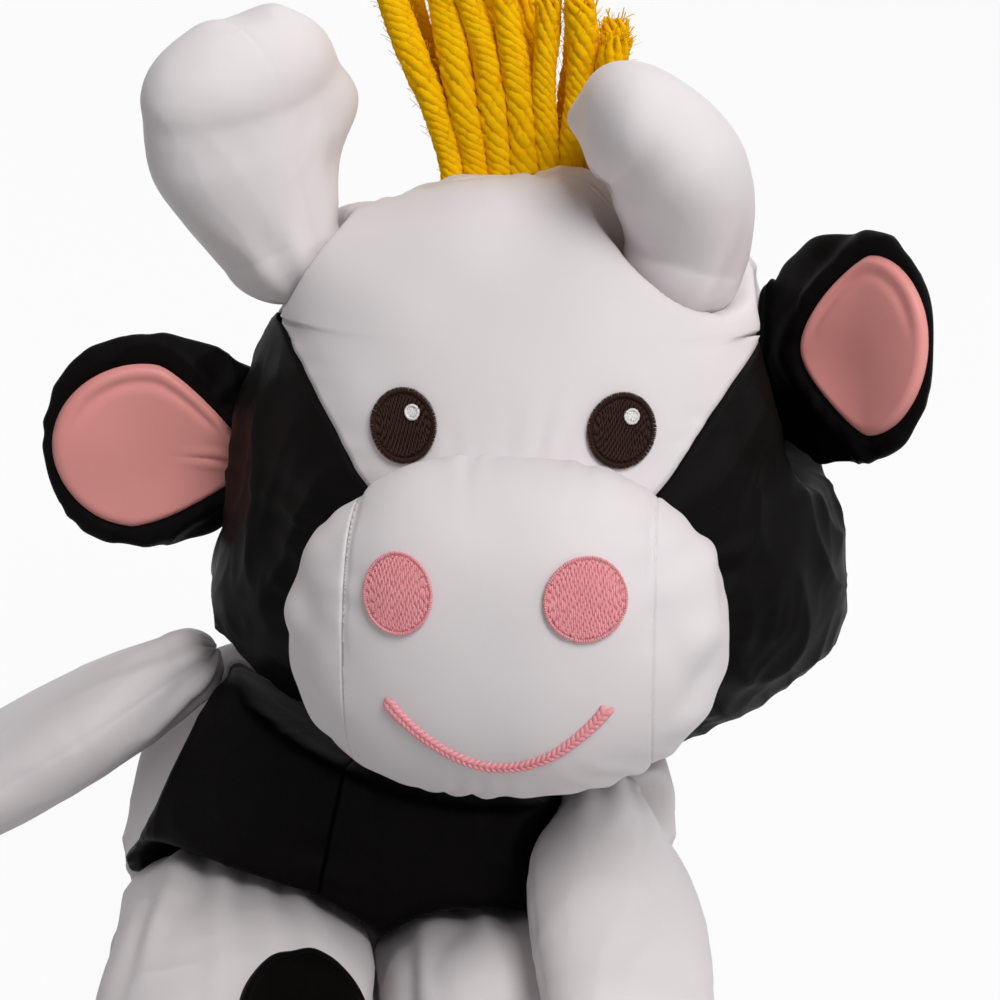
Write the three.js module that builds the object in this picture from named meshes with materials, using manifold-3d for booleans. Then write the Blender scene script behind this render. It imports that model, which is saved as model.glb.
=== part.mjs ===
// A soft stuffed cow of thin woven nylon, sitting with its legs forward.
// Millimetres. +Z is up, the face looks along -Y and +X is the cow's own left side.
// The origin is the middle of the flat under the seat.
import * as THREE from 'three';
import { mergeVertices } from 'three/addons/utils/BufferGeometryUtils.js';
import Module from 'manifold-3d';

const wasm = await Module();
wasm.setup();

const degree = Math.PI / 180;
const quarterTurn = Math.PI / 2;

// Driving dimensions

// Cloth, thread and clearances
const clothThickness = 1.2;
const fitGap = 0.3;
const pocketGap = 0.8;
const coreGap = 5;
const seatGap = 4;
const neckGap = 0.9;
const seamWidth = 0.5;
const threadRise = 1.1;
const floorFlat = 0.5;
const overrun = 40;

// Torso
const torsoWidth = 158;
const torsoDepth = 106;
const torsoHeight = 118;
const torsoSlouch = 16;
const sideSeamShare = -0.18;
const chestSeamShare = -0.14;
const seatTopShare = 0.13;

// Neck opening, filled by a ball of fibre on which the head sits
const neckRadius = 29;
const neckHeight = 106;
const neckSetback = 3;

// Head, in its own frame with its middle at the origin
const headWidth = 174;
const headHeight = 161;
const headDepth = 126;
const headLean = 6;
const backSeamShare = 0.1;
const neckInHead = { across: -17, back: 4, below: 62 };
const headPitch = 7;
const headRoll = -11.5;
const headYaw = -0.5;

// Muzzle, a dome standing on the face
const muzzleWidth = 109;
const muzzleHeight = 84;
const muzzleDrop = 25.5;
const muzzleReach = 107;
const muzzleBack = 40;
const muzzleMiddle = 70;
const muzzleSeamShare = 0.67;

// Face
const eyeWidth = 16.6;
const eyeHeight = 18.6;
const eyeSpacing = 54;
const eyeRise = 22;
const eyeTilt = 8;
const glintSize = 3.8;
const glintPlaceShares = { across: 0.28, up: 0.34 };
const nostrilWidth = 18;
const nostrilHeight = 19;
const nostrilSpacing = 43;
const nostrilDrop = 8;
const mouthWidth = 52;
const mouthDrop = 35;
const mouthSag = 17;
const mouthThread = 2.6;
const mouthRoundShare = 0.85;

// Yarn
const yarnDiameter = 5.4;
const yarnLength = 62;
const hairWidth = 46;
const hairSetback = 18;
const hairSeat = 0.8;
const tailYarnLength = 30;
const tailYarns = 5;
const tuftSpreadShares = { root: 0.4, tip: 0.85 };
const hairFan = 15;
const hairDrift = 7;
const hairRows = [
  { count: 7, backShare: -0.75, lean: -6 },
  { count: 6, backShare: 0.75, lean: 5 },
];
const hairPlaceShare = -0.12;
const hairCutShares = { side: 0.42, curve: 0.6, ragged: 0.04 };

// Limbs: a round root about the hinge, a body of a given length, and a rounded tip
const armSize = { length: 92, width: 50, thickness: 31, root: 11, tip: 20 };
const legSize = { length: 122, width: 72, thickness: 48, root: 36, tip: 28 };
const hornSize = {
  right: { length: 64.5, width: 37.5, thickness: 60.5, root: 15, tip: 17 },
  left: { length: 56, width: 36.8, thickness: 62, root: 15, tip: 17 },
};
const earSize = { length: 58, width: 62, thickness: 11, root: 5, tip: 21 };
const tailRise = 16;
const tailSize = { length: 62, width: 13, thickness: 13, root: 6.5, tip: 6 };
const hornTurn = { right: 46, left: 100 };
const liningTilt = 5;
const liningSeat = 1.5;
const liningShares = { along: 0.54, length: 0.84, width: 0.8 };
const spotPlaceShares = { along: 0.47, across: 0.48 };
const spotLength = 52;
const spotWidth = 40;
const spotRise = 0.8;

// Shapes in shares: [station from pole to pole, share of the size]
const headWidthShares = [
  [0, 1.0], [0.1, 1.06], [0.2, 1.13], [0.3, 1.16], [0.36, 1.11], [0.42, 1.02],
  [0.5, 0.95], [0.6, 0.92], [0.7, 0.94], [0.85, 1.12], [1, 1.25],
];
const headDepthShares = [[0, 1.0], [0.25, 1.08], [0.5, 1.0], [0.75, 0.95], [1, 1.1]];
const torsoWidthShares = [[0, 1.0], [0.3, 1.0], [0.5, 1.0], [0.7, 0.98], [0.85, 0.9], [1, 0.8]];
const torsoDepthShares = [[0, 1.1], [0.3, 1.04], [0.5, 0.95], [0.7, 0.84], [0.85, 0.78], [1, 0.75]];
const muzzleShares = [[0, 0.96], [0.3, 0.97], [0.5, 1.0], [0.75, 1.04], [1, 1.1]];
const armShares = [[0, 0.44], [0.25, 0.84], [0.5, 0.99], [0.8, 1.0], [1, 0.96]];
const armThickShares = [[0, 0.7], [0.25, 0.9], [0.6, 1.0], [1, 0.95]];
const legShares = [[0, 0.97], [0.35, 1.0], [0.7, 0.98], [1, 0.9]];
const legThickShares = [[0, 1.0], [0.35, 1.0], [0.7, 1.0], [1, 1.0]];
const hornShares = [[0, 0.883], [0.3, 0.98], [0.6, 1.0], [0.85, 0.9], [1, 0.76]];
const hornThickShares = [[0, 0.56], [0.3, 0.78], [0.6, 0.97], [0.85, 1.0], [1, 0.88]];
const earShares = [[0, 0.66], [0.3, 0.9], [0.6, 1.0], [0.85, 0.98], [1, 0.95]];
const earThickShares = [[0, 0.91], [0.5, 1.05], [1, 1.0]];
const plainShares = [[0, 1], [1, 1]];

// Outline of the white blaze, from the muzzle up one side, in shares of half the head's width and height
const blazeShares = [
  [0.22, -0.55], [0.36, -0.1], [0.4, 0.03], [0.46, 0.11], [0.51, 0.19], [0.59, 0.31],
  [0.71, 0.45], [0.8, 0.57], [1.15, 0.72], [1.15, 1.3],
];

// Turn and place of what is sewn on, in shares of half the size of what carries it
const armPlaceShares = {
  right: { across: -0.8, back: -0.12, up: 0.79 },
  left: { across: 0.77, back: -0.32, up: 0.715 },
};
const legPlaceShares = {
  right: { across: -0.38, back: -0.58 },
  left: { across: 0.545, back: -0.58 },
};
const hornPlaceShares = {
  right: { across: -0.765, back: -0.08, up: 0.736 },
  left: { across: 0.48, back: -0.235, up: 0.729 },
};
const earPlaceShares = {
  right: { across: -0.88, back: 0.06, up: 0.04 },
  left: { across: 0.77, back: 0.06, up: 0.37 },
};
const armTurn = {
  right: { yaw: 14, up: -40, roll: 75 },
  left: { yaw: 79, up: -17, roll: 76 },
};
const legTurn = { right: -83, left: -80 };
const hornTilt = {
  right: { up: 67, yaw: 5, roll: 50 },
  left: { up: 75, yaw: 0, roll: 5 },
};
const earTilt = {
  right: { up: 4, yaw: 16, roll: 8 },
  left: { up: 14, yaw: 48, roll: -6 },
};

// Swings of what is sewn on, about each hinge, in degrees
const armSwings = { right: [-55, 25], left: [0, 45] };
const legSwings = { right: [-30, 0], left: [0, 30] };
const hornSwings = [-12, 12];
const earSwings = [-25, 25];
const tailSwings = [-35, 35];
const swingSteps = { arm: 6, leg: 4, horn: 2, ear: 8, tail: 2 };
const headTurns = [[0, 0], [0, -15], [0, 15], [-30, -15], [30, -15], [-30, 15], [30, 15]];

// How finely the forms are drawn
const headRows = 14;
const headSides = 26;
const torsoRows = 12;
const torsoSides = 24;
const muzzleRows = 10;
const muzzleSides = 22;
const limbRows = 10;
const limbSides = 12;
const tailRows = 9;
const tailSides = 10;
const coreShare = 0.7;
const finest = 0.03;
const mouthSteps = 16;
const nearby = 0.01;
const pocketShare = 0.75;
const seatShare = 0.5;

// Colours, roughness and metalness
const finish = (color, roughness) => new THREE.MeshStandardMaterial({ color, roughness, metalness: 0 });
const whiteCloth = finish(0xd7d0d2, 0.62);
const blackCloth = finish(0x14110f, 0.55);
const pinkSatin = finish(0xdc8c8c, 0.45);
const pinkThread = finish(0xe68c9b, 0.6);
const brownThread = finish(0x321e16, 0.6);
const whiteThread = finish(0xe8e4e2, 0.6);
const yellowYarn = finish(0xe1a000, 0.9);
const fibre = finish(0xe6e4de, 0.95);

// The largest piece of a solid, without the scraps that pockets leave beside it
function largest(solid) {
  const pieces = solid.decompose();
  return pieces.reduce((big, piece) => (piece.volume() > big.volume() ? piece : big));
}

// A closed mesh as a solid, and a solid as geometry
function solidOf(geometry) {
  const bare = geometry.index ? geometry.clone() : geometry;
  bare.deleteAttribute('normal');
  bare.deleteAttribute('uv');
  const merged = mergeVertices(bare, 1e-5);
  return new wasm.Manifold(new wasm.Mesh({
    numProp: 3,
    vertProperties: new Float32Array(merged.attributes.position.array),
    triVerts: new Uint32Array(merged.index.array),
  }));
}

function geometryOf(solid) {
  const mesh = solid.getMesh();
  const geometry = new THREE.BufferGeometry();
  geometry.setAttribute('position', new THREE.BufferAttribute(new Float32Array(mesh.vertProperties), 3));
  geometry.setIndex(new THREE.BufferAttribute(new Uint32Array(mesh.triVerts), 1));
  geometry.computeVertexNormals();
  return geometry;
}

// The share at a station of a table, on a smooth curve through its rows
function shareAt(shares, station) {
  const last = shares.length - 1;
  const slope = (i) => {
    const before = shares[Math.max(i - 1, 0)];
    const after = shares[Math.min(i + 1, last)];
    return (after[1] - before[1]) / (after[0] - before[0]);
  };
  const end = Math.min(Math.max(shares.findIndex((row) => row[0] >= station), 1), last);
  const [from, to] = [shares[end - 1], shares[end]];
  const span = to[0] - from[0];
  const t = Math.min(Math.max((station - from[0]) / span, 0), 1);
  const rise = to[1] - from[1];
  const bend = (slope(end - 1) * span - rise) * (1 - t) + (rise - slope(end) * span) * t;
  return from[1] + rise * t + t * (1 - t) * bend;
}

// A closed skin over pointAt(u, v), with u from pole to pole and v round them, pushed out by push
function skin(pointAt, rows, sides, push = 0) {
  const step = 0.004;
  const normalAt = (u, v) => {
    const low = Math.max(u, step);
    const middle = Math.min(low, 1 - step);
    const along = pointAt(middle + step, v).sub(pointAt(middle - step, v));
    const around = pointAt(middle, v + step).sub(pointAt(middle, v - step));
    return around.cross(along).normalize();
  };
  const poleNormal = (u) => {
    const sum = new THREE.Vector3();
    for (let j = 0; j < sides; j += 1) {
      sum.add(normalAt(u, j / sides));
    }
    return sum.normalize();
  };
  const points = [pointAt(0, 0).addScaledVector(poleNormal(0), push)];
  for (let i = 1; i < rows; i += 1) {
    for (let j = 0; j < sides; j += 1) {
      const [u, v] = [i / rows, j / sides];
      points.push(pointAt(u, v).addScaledVector(normalAt(u, v), push));
    }
  }
  points.push(pointAt(1, 0).addScaledVector(poleNormal(1), push));
  const place = (i, j) => 1 + (i - 1) * sides + (j % sides);
  const end = points.length - 1;
  const index = [];
  for (let j = 0; j < sides; j += 1) {
    index.push(0, place(1, j + 1), place(1, j));
    index.push(end, place(rows - 1, j), place(rows - 1, j + 1));
    for (let i = 1; i < rows - 1; i += 1) {
      index.push(place(i, j), place(i, j + 1), place(i + 1, j));
      index.push(place(i, j + 1), place(i + 1, j + 1), place(i + 1, j));
    }
  }
  const geometry = new THREE.BufferGeometry().setFromPoints(points);
  geometry.setIndex(index);
  return geometry;
}

// A point of a rounded section: like an ellipse, and fuller where square is above 2
function section(halfAcross, halfUp, v, square) {
  const angle = 2 * Math.PI * v;
  const full = (value) => Math.sign(value) * Math.abs(value) ** (2 / square);
  return [halfAcross * full(Math.cos(angle)), halfUp * full(Math.sin(angle))];
}

// Head: a pear, widest at the cheeks, with its forehead leaning back
const headSquare = 2.15;
function headPoint(u, v) {
  const ring = Math.sin(Math.PI * u);
  const [x, y] = section(
    (headWidth / 2) * ring * shareAt(headWidthShares, u),
    (headDepth / 2) * ring * shareAt(headDepthShares, u),
    v,
    headSquare,
  );
  const height = -Math.cos(Math.PI * u);
  return new THREE.Vector3(x, y + headLean * height, (headHeight / 2) * height);
}

// Muzzle: a dome whose rows run forward from inside the face
const muzzleSquare = 2.3;
const muzzleDomeShare = 0.8;
function muzzlePoint(u, v) {
  const height = -Math.cos(Math.PI * u);
  const reach = height < 0 ? muzzleMiddle - muzzleBack : muzzleReach - muzzleMiddle;
  const ring = Math.sin(Math.PI * u) ** muzzleDomeShare * shareAt(muzzleShares, u);
  const [x, z] = section((muzzleWidth / 2) * ring, (muzzleHeight / 2) * ring, v, muzzleSquare);
  return new THREE.Vector3(x, -muzzleMiddle - reach * height, z - muzzleDrop);
}

// Torso: a pear with a broad seat, whose top slouches to one side
const torsoSquare = 2.2;
const torsoDomeShare = 0.78;
function torsoPoint(u, v) {
  const height = (1 - Math.cos(Math.PI * u)) / 2;
  const ring = Math.sin(Math.PI * u) ** torsoDomeShare;
  const [x, y] = section(
    (torsoWidth / 2) * ring * shareAt(torsoWidthShares, u),
    (torsoDepth / 2) * ring * shareAt(torsoDepthShares, u),
    v,
    torsoSquare,
  );
  return new THREE.Vector3(x + torsoSlouch * height ** 2, y, torsoHeight * height - floorFlat);
}

// Limb: u runs from the back of the round root, along the body, to the tip
const rootTurnShare = 0.22;
const tipTurnShare = 0.26;
function limbPoint(limb, u, v) {
  const { size, widthShares, thickShares, turn = 0, square = 2 } = limb;
  const trunk = size.length - size.tip;
  let [along, fill, station] = [0, 1, 0];
  if (u < rootTurnShare) {
    const angle = (u / rootTurnShare) * quarterTurn;
    [along, fill, station] = [-size.root * Math.cos(angle), Math.sin(angle), 0];
  } else if (u > 1 - tipTurnShare) {
    const angle = ((1 - u) / tipTurnShare) * quarterTurn;
    [along, fill, station] = [trunk + size.tip * Math.cos(angle), Math.sin(angle), 1];
  } else {
    station = (u - rootTurnShare) / (1 - rootTurnShare - tipTurnShare);
    along = trunk * station;
  }
  const [y, z] = section(
    (size.thickness / 2) * fill * shareAt(thickShares, station),
    (size.width / 2) * fill * shareAt(widthShares, station),
    v,
    square,
  );
  const bend = turn * degree * Math.max(along, 0) / size.length;
  const curl = turn ? size.length / (turn * degree) : 0;
  const x = turn && along > 0 ? curl * Math.sin(bend) : along;
  const rise = turn && along > 0 ? curl * (1 - Math.cos(bend)) : 0;
  return new THREE.Vector3(x - z * Math.sin(bend), y, rise + z * Math.cos(bend));
}

// A flat outline in the plane of the face, carried front to back as a cutter
function cutter(outline, front, back) {
  const shape = outline instanceof THREE.Shape ? outline : new THREE.Shape(outline);
  const geometry = new THREE.ExtrudeGeometry(shape, {
    depth: back - front, bevelEnabled: false, curveSegments: 7,
  });
  geometry.rotateX(quarterTurn);
  geometry.translate(0, back, 0);
  return solidOf(geometry);
}

function boxFrom(low, high) {
  const size = new THREE.Vector3().subVectors(high, low);
  const geometry = new THREE.BoxGeometry(size.x, size.y, size.z);
  geometry.translate(low.x + size.x / 2, low.y + size.y / 2, low.z + size.z / 2);
  return solidOf(geometry);
}

// Everything on one side of a plane across one axis
function sideOf(axis, from, to) {
  const low = new THREE.Vector3(-1, -1, -1).multiplyScalar(headWidth * 2);
  const high = low.clone().negate();
  low[axis] = from;
  high[axis] = to;
  return boxFrom(low, high);
}

const ball = (radius) => new THREE.SphereGeometry(radius, 16, 10);

const part = new THREE.Group();

// Adds a named piece to a group
function add(group, name, solid, material) {
  const geometry = solid.isBufferGeometry ? solid : geometryOf(solid.simplify(finest));
  const mesh = new THREE.Mesh(geometry, material);
  mesh.name = name;
  group.add(mesh);
  return mesh;
}

// A form's solid at an offset from its cloth's outer face
const formed = (pointAt, rows, sides) => (push, fine = 1) =>
  solidOf(skin(pointAt, Math.round(rows * fine), Math.round(sides * fine), push));
const headForm = formed(headPoint, headRows, headSides);
const muzzleForm = formed(muzzlePoint, muzzleRows, muzzleSides);
const torsoForm = formed(torsoPoint, torsoRows, torsoSides);

// Frames of the sewn-on parts
const onHead = (shares) => new THREE.Vector3(
  (shares.across * headWidth) / 2,
  (shares.back * headDepth) / 2,
  (shares.up * headHeight) / 2,
);

// Each side's limb points along its own +X, which the side's heading turns outwards
const heading = { right: Math.PI, left: 0 };
function turned(side, { up = 0, yaw = 0, roll = 0 }) {
  const spin = side === 'left' ? -yaw : yaw;
  const matrix = new THREE.Matrix4().makeRotationZ(heading[side] + spin * degree);
  matrix.multiply(new THREE.Matrix4().makeRotationY(-up * degree));
  matrix.multiply(new THREE.Matrix4().makeRotationX((side === 'left' ? 1 : -1) * roll * degree));
  return matrix;
}

function limbOn(size, widthShares, thickShares, matrix, more = {}) {
  return { size, widthShares, thickShares, matrix, ...more };
}

const limbSolid = (limb, push, rows = limbRows, round = limbSides) => solidOf(
  skin((u, v) => limbPoint(limb, u, v), rows, round, push),
);

// The pocket that a limb leaves in what carries it, wide enough for its swing in a number of steps
function pocketOf(limb, gap, fine, steps) {
  const [from, to] = limb.swings;
  let pocket = null;
  for (let step = 0; step <= steps; step += 1) {
    const swing = from + ((to - from) * step) / steps;
    const rows = Math.round(limbRows * fine);
    const round = Math.round(limbSides * fine);
    const geometry = skin((u, v) => limbPoint(limb, u, v), rows, round, gap);
    geometry.applyMatrix4(new THREE.Matrix4().makeRotationAxis(limb.hinge, swing * degree));
    geometry.applyMatrix4(limb.matrix);
    const solid = solidOf(geometry);
    pocket = pocket ? pocket.add(solid) : solid;
  }
  return pocket;
}
const clothPocket = (limb) => pocketOf(limb, pocketGap, 1, limb.steps);
const corePocket = (limb) => pocketOf(limb, coreGap, pocketShare, 1);

// A bag of cloth open at its root, and the fibre that fills it
function bagAndFilling(limb) {
  const mouth = new THREE.CylinderGeometry(limb.size.root / 2, limb.size.root / 2, limb.size.root, 12);
  mouth.rotateZ(quarterTurn);
  mouth.translate(-limb.size.root, 0, 0);
  const bag = limbSolid(limb, 0).subtract(limbSolid(limb, -clothThickness)).subtract(solidOf(mouth));
  return { bag, filling: limbSolid(limb, -clothThickness - fitGap) };
}

// Adds a limb's bag and filling in a group at its hinge
function addLimb(parent, name, limb) {
  const group = new THREE.Group();
  group.applyMatrix4(limb.matrix);
  parent.add(group);
  const { bag, filling } = bagAndFilling(limb);
  add(group, `${name}_cover`, bag, whiteCloth);
  add(group, `${name}_stuffing`, filling, fibre);
  return group;
}

const alongX = new THREE.Vector3(1, 0, 0);
const alongY = new THREE.Vector3(0, 1, 0);
const alongZ = new THREE.Vector3(0, 0, 1);
const sides = ['left', 'right'];

// Limbs of the torso
const arms = {};
const legs = {};
for (const side of sides) {
  const placed = armPlaceShares[side];
  const armMatrix = turned(side, armTurn[side]);
  armMatrix.setPosition(
    (placed.across * torsoWidth) / 2,
    (placed.back * torsoDepth) / 2,
    placed.up * torsoHeight,
  );
  arms[side] = limbOn(armSize, armShares, armThickShares, armMatrix, {
    hinge: side === 'left' ? alongY : alongZ, swings: armSwings[side], steps: swingSteps.arm,
  });

  const legMatrix = new THREE.Matrix4().makeRotationZ(legTurn[side] * degree);
  legMatrix.setPosition(
    (legPlaceShares[side].across * torsoWidth) / 2,
    (legPlaceShares[side].back * torsoDepth) / 2,
    legSize.thickness / 2,
  );
  legs[side] = limbOn(
    { ...legSize, thickness: legSize.width, width: legSize.thickness },
    legThickShares,
    legShares,
    legMatrix,
    { hinge: alongZ, square: 2.1, swings: legSwings[side], steps: swingSteps.leg },
  );
}

const tailMatrix = new THREE.Matrix4().makeRotationZ(quarterTurn);
const tailStation = Math.acos(1 - (2 * (tailRise + floorFlat)) / torsoHeight) / Math.PI;
const tailRoot = torsoPoint(tailStation, 0.25);
tailMatrix.setPosition(tailRoot.x, tailRoot.y, tailRise);
const tail = limbOn(tailSize, plainShares, plainShares, tailMatrix, {
  hinge: alongZ, swings: tailSwings, steps: swingSteps.tail,
});

// Limbs of the head
const horns = {};
const ears = {};
for (const side of sides) {
  const hornMatrix = turned(side, hornTilt[side]);
  hornMatrix.setPosition(onHead(hornPlaceShares[side]));
  horns[side] = limbOn(hornSize[side], hornShares, hornThickShares, hornMatrix, {
    hinge: alongY, turn: hornTurn[side], swings: hornSwings, steps: swingSteps.horn,
  });
  const earMatrix = turned(side, earTilt[side]);
  earMatrix.setPosition(onHead(earPlaceShares[side]));
  ears[side] = limbOn(earSize, earShares, earThickShares, earMatrix, {
    hinge: alongZ, swings: earSwings, steps: swingSteps.ear,
  });
}

// Head and neck frames
const neckPlace = new THREE.Vector3(torsoSlouch, neckSetback, neckHeight);
const neckLocal = new THREE.Vector3(neckInHead.across, neckInHead.back, -neckInHead.below);
const headGroup = new THREE.Group();
headGroup.position.copy(neckPlace);
headGroup.rotation.set(-headPitch * degree, headRoll * degree, headYaw * degree, 'ZYX');
const headInner = new THREE.Group();
headInner.position.copy(neckLocal).negate();
headGroup.add(headInner);
part.add(headGroup);

const neckPocket = ball(neckRadius + neckGap);

// The seat that the head and muzzle press into the torso's top as they turn and nod
function headSeat() {
  const rest = new THREE.Matrix4().makeRotationFromEuler(headGroup.rotation);
  rest.multiply(new THREE.Matrix4().makeTranslation(-neckLocal.x, -neckLocal.y, -neckLocal.z));
  let seat = null;
  for (const [turn, nod] of headTurns) {
    const pose = new THREE.Matrix4().makeTranslation(neckPlace.x, neckPlace.y, neckPlace.z);
    pose.multiply(new THREE.Matrix4().makeRotationZ(turn * degree));
    pose.multiply(new THREE.Matrix4().makeRotationX(nod * degree));
    pose.multiply(rest);
    const form = headForm(seatGap, seatShare).add(muzzleForm(seatGap, seatShare));
    const placed = form.transform(Array.from(pose.elements));
    seat = seat ? seat.add(placed) : placed;
  }
  return seat;
}

// Torso
function buildTorso() {
  const neckHole = solidOf(neckPocket.clone().translate(neckPlace.x, neckPlace.y, neckPlace.z));
  const openTop = neckHole.add(headSeat());
  let pockets = openTop.add(clothPocket(tail));
  let hollows = openTop.add(corePocket(tail));
  for (const side of sides) {
    pockets = pockets.add(clothPocket(arms[side])).add(clothPocket(legs[side]));
    hollows = hollows.add(corePocket(arms[side])).add(corePocket(legs[side]));
  }
  const aboveFloor = sideOf('z', 0, torsoHeight * 2);
  const shell = torsoForm(0).subtract(torsoForm(-clothThickness, coreShare));
  const cloth = shell.subtract(pockets).intersect(aboveFloor);
  const core = torsoForm(-clothThickness - fitGap, coreShare).subtract(hollows);
  const coreBase = clothThickness + fitGap;
  add(part, 'body_stuffing', core.intersect(sideOf('z', coreBase, torsoHeight * 2)), fibre);

  const half = seamWidth / 2;
  const sideSeam = (sideSeamShare * torsoDepth) / 2;
  const chestSeam = (chestSeamShare * torsoWidth) / 2;
  const seatTop = seatTopShare * torsoHeight;
  const upper = cloth.intersect(sideOf('z', seatTop + half, torsoHeight * 2));
  const front = upper.intersect(sideOf('y', -torsoDepth, sideSeam - half));
  const back = upper.intersect(sideOf('y', sideSeam + half, torsoDepth));
  const seat = cloth.intersect(sideOf('z', -overrun, seatTop - half));
  const chestLeft = front.intersect(sideOf('x', chestSeam + half, torsoWidth));
  const chestRight = front.intersect(sideOf('x', -torsoWidth, chestSeam - half));
  add(part, 'chest_panel_left', largest(chestLeft), blackCloth);
  add(part, 'chest_panel_right', largest(chestRight), blackCloth);
  add(part, 'back_panel_left', largest(back.intersect(sideOf('x', half, torsoWidth))), whiteCloth);
  add(part, 'back_panel_right', largest(back.intersect(sideOf('x', -torsoWidth, -half))), whiteCloth);
  add(part, 'seat_panel', largest(seat), whiteCloth);
}

// The ball of fibre in the neck opening
function buildNeck() {
  const geometry = ball(neckRadius);
  const mesh = add(part, 'neck_stuffing', geometryOf(solidOf(geometry)), fibre);
  mesh.position.copy(neckPlace);
}

// Shape of the blaze between the cheeks, grown by grow at its sides
function blazeShape(grow) {
  const half = blazeShares.map(([x, z]) => [(x * headWidth) / 2 + grow, (z * headHeight) / 2]);
  const shape = new THREE.Shape();
  shape.moveTo(-half[0][0], half[0][1]);
  shape.lineTo(half[0][0], half[0][1]);
  for (const [x, z] of half.slice(1)) {
    shape.lineTo(x, z);
  }
  for (const [x, z] of half.slice(1).reverse()) {
    shape.lineTo(-x, z);
  }
  return shape;
}

function eggShape(x, z, width, height, tilt) {
  return new THREE.Shape().absellipse(x, z, width / 2, height / 2, 0, 2 * Math.PI, false, tilt * degree);
}

// Raised embroidery that follows a form inside an outline
function embroidery(form, outline, front, back, low = fitGap, rise = threadRise) {
  return form(low + rise).subtract(form(low)).intersect(cutter(outline, front, back));
}

// The smile: a rope stitch along a curve, as a band of the thread's width
function mouthShape() {
  const curve = (t) => new THREE.Vector2(
    (t - 0.5) * mouthWidth,
    -mouthDrop - mouthSag * Math.sin(Math.PI * t) ** mouthRoundShare,
  );
  const outer = [];
  const inner = [];
  for (let i = 0; i <= mouthSteps; i += 1) {
    const t = i / mouthSteps;
    const [before, after] = [Math.max(t - nearby, 0), Math.min(t + nearby, 1)];
    const ahead = curve(after).sub(curve(before)).normalize();
    const across = new THREE.Vector2(-ahead.y, ahead.x).multiplyScalar(mouthThread / 2);
    outer.push(curve(t).sub(across));
    inner.push(curve(t).add(across));
  }
  return new THREE.Shape([...outer, ...inner.reverse()]);
}

function buildHead() {
  const neckHole = solidOf(neckPocket.clone().translate(neckLocal.x, neckLocal.y, neckLocal.z));
  let pockets = neckHole;
  let hollows = neckHole;
  for (const side of sides) {
    pockets = pockets.add(clothPocket(horns[side])).add(clothPocket(ears[side]));
    hollows = hollows.add(corePocket(horns[side])).add(corePocket(ears[side]));
  }
  const half = seamWidth / 2;
  const depth = headDepth;
  const core = headForm(-clothThickness - fitGap, coreShare).subtract(hollows);
  add(headInner, 'head_stuffing', core, fibre);

  const shell = headForm(0).subtract(headForm(-clothThickness, coreShare)).subtract(pockets);
  const sideSeam = (backSeamShare * headDepth) / 2;
  const back = shell.intersect(sideOf('y', sideSeam + half, depth));
  const front = shell.intersect(sideOf('y', -depth, sideSeam - half)).subtract(muzzleForm(fitGap));
  const face = front.intersect(cutter(blazeShape(-half), -depth, depth));
  const cheeks = front.subtract(cutter(blazeShape(half), -depth, depth));
  add(headInner, 'face_panel', face, whiteCloth);
  add(headInner, 'cheek_panel_left', cheeks.intersect(sideOf('x', half, headWidth)), blackCloth);
  add(headInner, 'cheek_panel_right', cheeks.intersect(sideOf('x', -headWidth, -half)), blackCloth);
  add(headInner, 'head_back_left', back.intersect(sideOf('x', half, headWidth)), whiteCloth);
  add(headInner, 'head_back_right', back.intersect(sideOf('x', -headWidth, -half)), whiteCloth);

  for (const side of sides) {
    const outward = side === 'left' ? 1 : -1;
    const x = (outward * eyeSpacing) / 2;
    const eyeOutline = eggShape(x, eyeRise, eyeWidth, eyeHeight, -outward * eyeTilt);
    const eye = embroidery(headForm, eyeOutline, -depth, 0);
    const glintX = x + (glintPlaceShares.across * eyeWidth) / 2;
    const glintZ = eyeRise + (glintPlaceShares.up * eyeHeight) / 2;
    const holeSize = glintSize + 2 * fitGap;
    const hole = cutter(eggShape(glintX, glintZ, holeSize, holeSize, 0), -depth, 0);
    const glint = embroidery(headForm, eggShape(glintX, glintZ, glintSize, glintSize, 0), -depth, 0);
    add(headInner, `eye_${side}`, eye.subtract(hole), brownThread);
    add(headInner, `eye_glint_${side}`, glint, whiteThread);
  }
}

function buildMuzzle() {
  const half = seamWidth / 2;
  const front = -muzzleReach - overrun;
  const faceFibre = headForm(-clothThickness, coreShare);
  const core = muzzleForm(-clothThickness - fitGap, coreShare).subtract(faceFibre);
  add(headInner, 'muzzle_stuffing', core, fibre);
  const dome = muzzleForm(0).subtract(muzzleForm(-clothThickness, coreShare)).subtract(faceFibre);
  const seam = (muzzleSeamShare * muzzleWidth) / 2;
  add(headInner, 'muzzle_centre_panel', dome.intersect(sideOf('x', -seam + half, seam - half)), whiteCloth);
  add(headInner, 'muzzle_side_left', dome.intersect(sideOf('x', seam + half, muzzleWidth)), whiteCloth);
  add(headInner, 'muzzle_side_right', dome.intersect(sideOf('x', -muzzleWidth, -seam - half)), whiteCloth);

  for (const side of sides) {
    const x = ((side === 'left' ? 1 : -1) * nostrilSpacing) / 2;
    const shape = eggShape(x, -nostrilDrop, nostrilWidth, nostrilHeight, 0);
    add(headInner, `nostril_${side}`, embroidery(muzzleForm, shape, front, -muzzleMiddle), pinkThread);
  }
  const mouth = embroidery(muzzleForm, mouthShape(), front, -muzzleMiddle);
  add(headInner, 'mouth_stitch', mouth, pinkThread);
}

// A strand of yarn along a curve
function strand(points, diameter) {
  const path = new THREE.CatmullRomCurve3(points);
  const circle = new THREE.Shape().absarc(0, 0, diameter / 2, 0, 2 * Math.PI, false);
  const geometry = new THREE.ExtrudeGeometry(circle, {
    steps: 4, curveSegments: 5, bevelEnabled: false, extrudePath: path,
  });
  return solidOf(geometry);
}

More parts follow.
